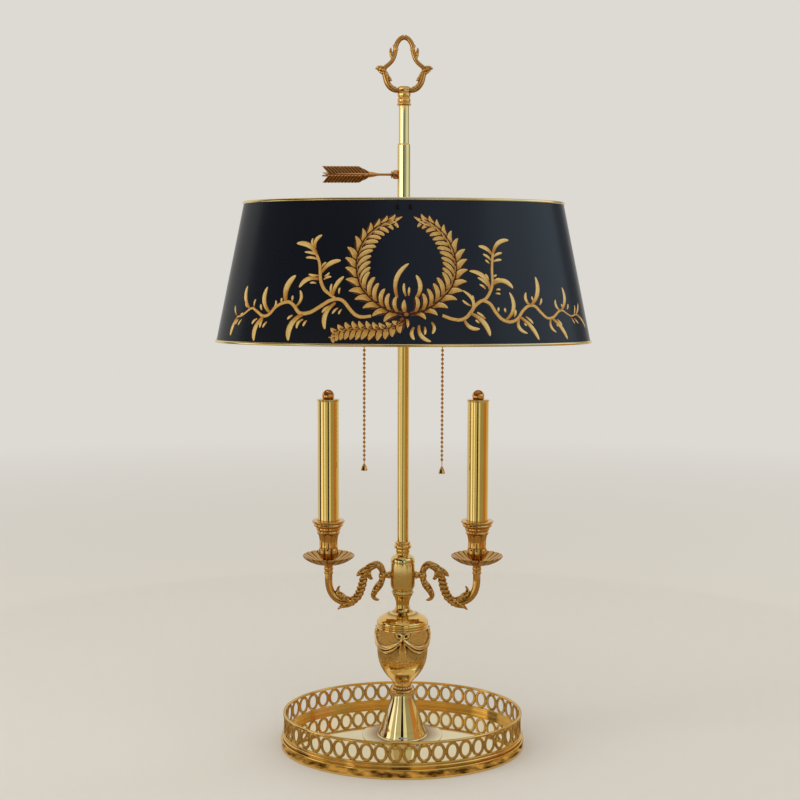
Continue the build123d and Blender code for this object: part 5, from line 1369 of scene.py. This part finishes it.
# %% Spray and flames
SPRAY_POINTS = 200
SPRAY_LEAN, SPRAY_LEAN_LENGTH = 0.9, 1.345
spray_rows = [(1, 26), (-7, 20.6), (-19, 17), (-33, 17), (-48, 16.6), (-58, 14.4), (-63, 11.4)]
spray_rib = even(through(spray_rows, 12), SPRAY_POINTS)
forward = np.gradient(spray_rib, axis=0)
forward /= np.linalg.norm(forward, axis=1, keepdims=True)
below = np.stack([-forward[:, 1], forward[:, 0]], 1)
spray = []
for count, sign, reach, half_width in ((12, 1, 14.5, 3.2), (10, -1, 10.5, 2.6)):
    share = (np.arange(count) + 0.7) / (count + 0.5)
    index = (share * (SPRAY_POINTS - 1)).astype(int)
    root, side = spray_rib[index], below[index] * sign
    size = reach * (0.7 + 0.3 * np.sin(math.pi * share))
    tip = root + (side + SPRAY_LEAN * forward[index]) / SPRAY_LEAN_LENGTH * size[:, None]
    spray.append(np.column_stack([root, tip, np.full(count, half_width), np.full(count, -0.12 * sign)]))
spray.append([[*spray_rib[-8], *(spray_rib[-1] + forward[-1] * 5), 2, 0.05]])
flames = [
    (-5.6, 46, 4.9, 79.1, 2.2, 0.2), (10.2, 45, 11.6, 68.2, 2.1, -0.2), (2.2, 48, 0.4, 60.5, 1.3, 0.08),
    (4.6, 48.4, 5.2, 56.8, 1.1, 0), (9.4, 19, 9.6, 6.8, 1.7, -0.2), (13.8, 21, 24.2, 5.2, 1.9, -0.22),
    (18.9, 19.4, 18.8, 11.6, 1.2, 0.05), (25, 23.6, 25.4, 12.6, 1.5, 0.2),
]
fan = [(2.4, 26.5, 3.4, 18, 1.6, 0.05), (1.4, 33, 0.6, 45, 2.5, 0.03)]
KNOT_ALONG, KNOT_UP = 2.4, 30.6
knot_grids = []
for reach, tone, lift in ((3, 0.05, 1.3), (2.2, 0.4, 1.7)):
    disc = [(KNOT_ALONG - reach, KNOT_UP, KNOT_ALONG + reach, KNOT_UP, reach, 0)]
    knot_grids.append(leaves(disc, root=tone, tip=tone, fullest=0.9, edge=0, film=lift))
sparse = spray_rib[::RIB_STEP]
wash = np.column_stack([sparse, 1 - np.linspace(0, 0.5, len(sparse))])
thin = np.column_stack([sparse, np.linspace(1, 0.4, len(sparse))])
spray_wash = stems(wash, 3.6, sides=16, bright=0.3, film=0.07)
spray_stem = stems(thin, 0.6, bright=0.05, film=1.1)
spray_leaves = outlined(np.concatenate(spray), root=0.34, tip=0.74, base=0.75, edge=-0.14)
fan_leaves = outlined(fan, root=0.36, tip=0.8, base=0.7, edge=-0.16)
flame_leaves = leaves(flames, root=0.45, finger=True)
spray_grids = (spray_wash, *spray_leaves, *fan_leaves, flame_leaves, spray_stem, *knot_grids)
piece("spray", "shade", gold_paint, [], *spray_grids)

# %% Wavy branches
left_stem = [
    (-166, 26.9, 0.5), (-159, 28.8, 0.6), (-149, 35.6, 0.7), (-142.5, 33, 0.8), (-135, 28.6, 0.9),
    (-128.3, 29.8, 0.9), (-121, 38, 0.9), (-111, 42.2, 1), (-104.2, 39.4, 1), (-97, 31.8, 1.1),
    (-87.2, 32.3, 1.1), (-78, 37.8, 1.1), (-69.4, 43.4, 1.1), (-61.5, 45.2, 1), (-55.4, 42.7, 1),
    (-49, 35.2, 1), (-43.8, 30.2, 1), (-38, 28.4, 1), (-29.5, 29.2, 0.9)
]
left_sprig = [
    (-63, 45.2, 0.7), (-69, 49.4, 0.9), (-75.4, 54.6, 1), (-79.6, 63, 1), (-80.9, 71.4, 1),
    (-82.2, 78.6, 0.9), (-85.6, 86.4, 0.8), (-90.6, 91.6, 0.7)
]
right_stem = [
    (35.3, 30, 0.9), (43.4, 26.8, 1), (51.6, 25.8, 1), (57.5, 28.4, 1), (62, 33.4, 1), (66.6, 39.4, 1),
    (72.9, 43.8, 1), (77.4, 43, 1), (81.6, 39.8, 1), (85.8, 32.2, 1), (91.2, 26, 1), (98.8, 23.6, 1),
    (106.2, 26.6, 0.9), (112.4, 34, 0.9), (119.2, 38.8, 0.9), (125.8, 38.4, 0.9), (131.6, 32.2, 0.9),
    (137.6, 27, 0.8), (144.8, 27.8, 0.8), (152, 33, 0.7), (157.5, 34, 0.6), (162.5, 31, 0.5),
    (168, 28.6, 0.5), (174.6, 29.6, 0.4), (180, 29.4, 0.3)
]
right_sprig = [
    (73, 44, 0.7), (77.6, 46.4, 0.9), (82, 52.8, 0.9), (84.9, 60.4, 0.8), (85.6, 72, 0.8),
    (86.8, 81.6, 0.8), (88.4, 89.8, 0.8)
]
big_leaves = [
    (-86, 88, -108.6, 98.3, 2.4, -0.15), (-88, 93, -82.4, 106, 1.8, 0.25),
    (-81.5, 64, -100.4, 56, 2.2, -0.22), (-79.5, 70, -61.2, 81.8, 2.2, 0.15),
    (-66.5, 48, -57, 66.6, 2, 0.12), (-63, 42, -71.2, 16.4, 2.2, -0.19), (-165, 27, -171, 8.4, 1.7, -0.08),
    (-166.6, 28.4, -171.4, 38, 1, 0.1), (-151, 35.4, -158.8, 57.4, 2, 0.16),
    (-127, 31.6, -134, 56.6, 2.2, 0.2), (-133, 28.4, -140.2, 4, 2.2, -0.17),
    (-112, 42.6, -105.2, 67.6, 2.9, 0.18), (-101.4, 37.8, -99, 53.4, 1.5, -0.2),
    (-93, 31, -104.8, 5, 2.7, -0.2), (88.6, 89, 106.6, 101.8, 2.1, 0.2),
    (87.4, 87.6, 74.2, 95.8, 1.9, -0.14), (84.4, 58.8, 105.2, 55.6, 2.3, 0.28),
    (82, 53.4, 63, 72.2, 2.1, -0.22), (58, 28.6, 54.6, 54, 1.6, -0.34), (61, 32, 78, 10.2, 2.3, 0.15),
    (55, 26.6, 69, 17.2, 1.9, -0.22), (94, 25, 101, 52, 1.9, -0.22), (108, 28.6, 125.2, 5.8, 2, 0.1),
    (108.6, 28.4, 114.6, 12.4, 1.7, -0.32), (121, 38.8, 130.8, 67, 2.2, -0.17),
    (122, 38.8, 118.2, 51.8, 1.5, 0.22), (142, 27, 157.6, 5.8, 1.9, 0.1), (142, 27, 145.4, 13, 1.4, -0.25),
    (155, 33.6, 161.8, 56.8, 1.8, -0.18), (155.6, 33.4, 150.4, 44.8, 1.3, 0.22),
    (175, 29.6, 183.6, 40.8, 1.2, -0.12), (176, 29.6, 190.6, 16.4, 1.3, 0.12),
    (172, 29, 176.4, 39, 0.9, -0.1)
]
small_leaves = [
    (-89, 95, -91.8, 103.2, 1.2, 0.2), (-85, 86.8, -98.9, 90, 1.2, -0.06),
    (-84, 82.6, -97.2, 84.6, 1.2, -0.08), (-82, 67.6, -92.4, 68.8, 1.1, 0.04),
    (-83.6, 60, -90, 60.4, 1, -0.1), (-79.6, 75.4, -75.6, 80.2, 1, 0.1),
    (-76.4, 66.6, -71.6, 70.4, 1.1, -0.1), (-76.6, 63.6, -69.2, 66.4, 1.1, 0.1),
    (-68, 49.6, -68.4, 59.8, 1.2, 0.06), (-60.4, 50, -60, 56, 1, 0.1),
    (-68.6, 38.6, -75.4, 32.2, 1.2, -0.1), (-60.4, 36.8, -65.6, 31, 1.1, -0.1),
    (-57, 35.6, -59.6, 30.6, 1, -0.1), (-162, 28, -158.6, 30.6, 0.9, 0.1),
    (-163, 24.6, -166.4, 19.4, 0.9, -0.1), (-158.6, 24.6, -162.4, 18.6, 0.9, -0.1),
    (-154, 36.4, -157.4, 41, 1, 0.1), (-146, 37, -145.6, 44.6, 1, 0.1),
    (-136.4, 34, -138.6, 39.8, 1.2, 0.1), (-125, 35.4, -123, 43.6, 1.1, -0.2),
    (-140, 25.6, -145.4, 20.2, 1.2, -0.15), (-134, 25, -135.8, 17, 1.2, -0.1),
    (-129, 22.8, -132.8, 17, 1.1, -0.1), (-116.6, 41, -117, 46, 1.1, 0), (-105.6, 43, -106, 48.4, 1.1, 0),
    (-103.4, 29.4, -108.4, 25.4, 1.2, -0.1), (-92.6, 25.6, -98, 16.8, 1.4, -0.22),
    (-89, 24.6, -92.2, 19, 1.2, -0.1), (88, 85.4, 98, 89.6, 1.3, 0.08), (87.4, 81, 96.8, 83, 1.2, 0.06),
    (85.6, 82.4, 78, 88.2, 1.3, -0.1), (83.8, 79.4, 80, 83, 1, 0), (86, 62.4, 93.8, 64.6, 1.2, 0.08),
    (86, 66.6, 90, 68.6, 1, 0), (88, 54, 92.4, 54.4, 1, 0.1), (87, 50.6, 91.8, 50, 1, 0.1),
    (80, 57.6, 70.6, 66, 1.3, -0.1), (77.6, 55, 72, 59.4, 1.1, -0.1), (81.4, 63.4, 78.6, 69.4, 1.1, -0.06),
    (62.6, 39, 54.6, 44.6, 1.1, 0.06), (65.4, 44, 64.4, 49, 1, 0), (75, 26.4, 67.4, 33, 1.2, -0.06),
    (69, 22.6, 65.6, 25.8, 1.1, 0), (88, 33.4, 88.6, 37.6, 1.1, 0), (95, 32.6, 94.6, 37, 1.1, 0),
    (103, 28.4, 105, 35.4, 1.2, -0.1), (114.6, 28.6, 121.4, 21.6, 1.2, 0.06),
    (112, 22.6, 114.4, 19.6, 1, 0), (124.4, 43.6, 123.8, 48, 1, 0), (131, 39.6, 134.2, 46.2, 1.1, -0.1),
    (148.6, 25.6, 153.6, 19.4, 1.1, 0.06), (147, 21, 148.6, 18.6, 0.9, 0), (157.6, 37, 157.4, 40.6, 0.9, 0),
    (163.6, 35, 166.4, 40.4, 1, -0.1), (172, 26.4, 177.6, 20.8, 0.9, 0), (168, 26.8, 171.6, 21, 0.8, 0)
]
stem_grids = [stems(table, 1.6) for table in (left_stem, left_sprig, right_stem, right_sprig)]
branch_leaves = [
    leaves(table, root=root, finger=True) for table, root in ((big_leaves, 0.5), (small_leaves, 0.6))
]
piece("branches", "shade", gold_paint, [], *stem_grids, *branch_leaves)

# %% [markdown]
# ## Arrow screw
# The screw that clamps the sleeve is cast as an arrow's tail: four feathered vanes crossed on a slim
# shaft. A vane is a grid along and across the feather, its end cut to a notch, with slanted barbs as
# waves in its thickness.

# %% Boss and shaft
shaft_middle, shaft_half = place("arrow_shaft")
feather_middle, feather_half = place("arrow_fletching")
arrow_height = shaft_middle[2]
feather_start = feather_middle[0] + feather_half[0]


def along_arrow(rows, start, sides=40):
    """An outline (radius, length) spun about the arrow's axis, from a start towards -X."""
    spun = turned(outline(rows), sides)
    return grid(np.stack([start - spun[..., 2], spun[..., 0], arrow_height + spun[..., 1]], -1))


boss_rows = [(0, 0, 0), (4.6, 0, 0.2), (4.6, 3.4, 0.5), (3.9, 4.6, 0.5), (3.2, 5, 0.3), (0, 5, 0)]
piece("boss", "sleeve", brown_brass, ["sleeve_boss"], along_arrow(boss_rows, -6.3))
shaft_rows = [
    (0, 0, 0), (2.2, 0, 0.2), (2.2, 6, 0.2), (3.7, 6.2, 0.3), (3.7, 7.4, 0.3), (1.4, 7.8, 0.4),
    (1.2, 14, 3), (1.3, 20.5, 2), (2.6, 26, 2), (3.1, 30, 0.2), (0, 30, 0)
]
shaft = along_arrow(shaft_rows, shaft_middle[0] + shaft_half[0])
piece("shaft", "arrow_screw", brown_brass, ["arrow_shaft"], shaft)

# %% Feathers
VANE_LENGTH, VANE_NOTCH, VANE_TAPER, VANE_ROOT, VANE_HEIGHT = 47, 7, 10.5, 3, 8.5
BARB_PITCH = 3.4
VANE_TURN = math.radians(15)
share, across = np.linspace(0, 1, 110)[:, None], np.linspace(0, 1, 15)[None, :]
run = share * (VANE_LENGTH - VANE_NOTCH + VANE_NOTCH * across)
reach = VANE_ROOT + (VANE_HEIGHT - VANE_ROOT) * np.clip(run / VANE_TAPER, 0, 1) ** 0.85
barb = np.abs(np.sin(math.pi * (run - 0.95 * across * reach) / BARB_PITCH))
edge = across * reach - 0.35 * (1 - barb) * across**4
ends = np.clip(share / 0.03, 0, 1) * np.clip((1 - share) / 0.012, 0, 1)
closing = ends * np.clip((1.02 - across) / 0.08, 0, 1)
thick = (0.42 + 0.5 * barb) * closing
both = np.concatenate([thick, -thick[:, ::-1]], axis=1)
edge, run, barb = (np.concatenate([face, face[:, ::-1]], axis=1) for face in (edge, run, barb))
# The barbs' ridges are bright and their grooves darker: painted shade over the patina.
vane_barb_shade = barb * 0.8 + 0.1
spine = np.array([feather_start, 0, arrow_height]) - run[..., None] * [1, 0, 0]
vanes = []
for turn_angle in VANE_TURN + np.arange(4) * QUARTER:
    up = np.array([0, -math.sin(turn_angle), math.cos(turn_angle)])
    side = np.array([0, math.cos(turn_angle), math.sin(turn_angle)])
    vanes.append(spine + edge[..., None] * up + both[..., None] * side)
quill_rows = [(0, 0, 0), (1.7, 0, 0.2), (1.9, 8, 4), (1.5, 30, 6), (0.8, 38.6, 0.6), (0, 39.4, 0)]
quill = along_arrow(quill_rows, feather_start)
vane_grid = grid(np.stack(vanes), tone=vane_barb_shade)
piece("feathers", "arrow_screw", brown_brass, ["arrow_fletching"], vane_grid, quill, sharp_degrees=60)

# %% [markdown]
# ## Pull chains
# Each chain is ordinary bead chain: hollow balls on a wire, with a little bell at its end to pull on. A
# bead is repeated dozens of times, so it has few faces.

# %% Chains and bells
BEAD_PITCH = 4.5
BEAD_COUNT = 36
bell_rows = [
    (0, 7, 0), (1.2, 7, 0.3), (1.5, 6.3, 0.4), (1.2, 5.8, 0.3), (2.4, 4.6, 1), (2.9, 2.2, 1.2),
    (3.5, 0.7, 0.5), (3.6, 0, 0.2), (2.9, 0, 0.2), (2.2, 2.4, 1), (0, 4.2, 0)
]
for side in ("left", "right"):
    middle, half = place(f"pull_chain_{side}")
    top = middle[2] + half[2] - half[0]
    number = np.arange(BEAD_COUNT)
    bead_places = np.stack([0 * number + middle[0], 0 * number, top - BEAD_PITCH * number], 1)
    wire_rows = np.array([(0, middle[2] - half[2]), (0.5, middle[2] - half[2]), (0.5, top), (0, top)])
    wire = grid(turned(wire_rows, 8, middle[:2]))
    beads = balls(bead_places, half[0])
    piece(f"chain_{side}", f"pull_chain_{side}", cast_brass, [f"pull_chain_{side}"], beads, wire)
    curve, centre = fitted(f"pull_bell_{side}", bell_rows)
    bell = grid(turned(curve, 32, centre))
    piece(f"bell_{side}", f"pull_chain_{side}", cast_brass, [f"pull_bell_{side}"], bell)

# %% [markdown]
# ## Pieces that keep their CAD shape
# The tie pipe, washer, nut, candle rods, crossbar and inlet bush are flat or plain round pieces that
# are mostly hidden, and their solids are already right, so they only get a finish.

# %% Finishes of the carried-over nodes
kept_finishes = {
    "tie_pipe": zinc, "base_washer": zinc, "base_nut": zinc, "candle_rods": zinc,
    "shade_crossbar": turned_brass, "cord_bush": nylon,
}
for node, finish in kept_finishes.items():
    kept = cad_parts[node]
    if not kept.material_slots:
        kept.data.materials.append(finish)
    for slot in kept.material_slots:
        slot.material = finish
    print("kept:", node, "as", finish.name)

# %% [markdown]
# ## Strip light for the rod
# The dark cards that keep the shade black would blacken the rod above it too. A strip light linked to
# the rod, its sleeve and the finial alone gives them the pale line that round brass shows in soft light.

# %% Strip light
STRIP_PLACE, STRIP_AIM = (-0.46, -0.39, 0.68), (0, 0, 0.62)
STRIP_SIZE, STRIP_RADIANCE = (0.7, 0.2), 2.6
strip = soft_box("rod_strip", STRIP_PLACE, STRIP_AIM, STRIP_SIZE, STRIP_RADIANCE)
strip.visible_camera = False
lit_by_strip = bpy.data.collections.new("lit_by_strip")
for name in ("rod", "sleeve", "finial_foot", "finial_ring"):
    lit_by_strip.objects.link(bpy.data.objects[name])
strip.light_linking.receiver_collection = lit_by_strip
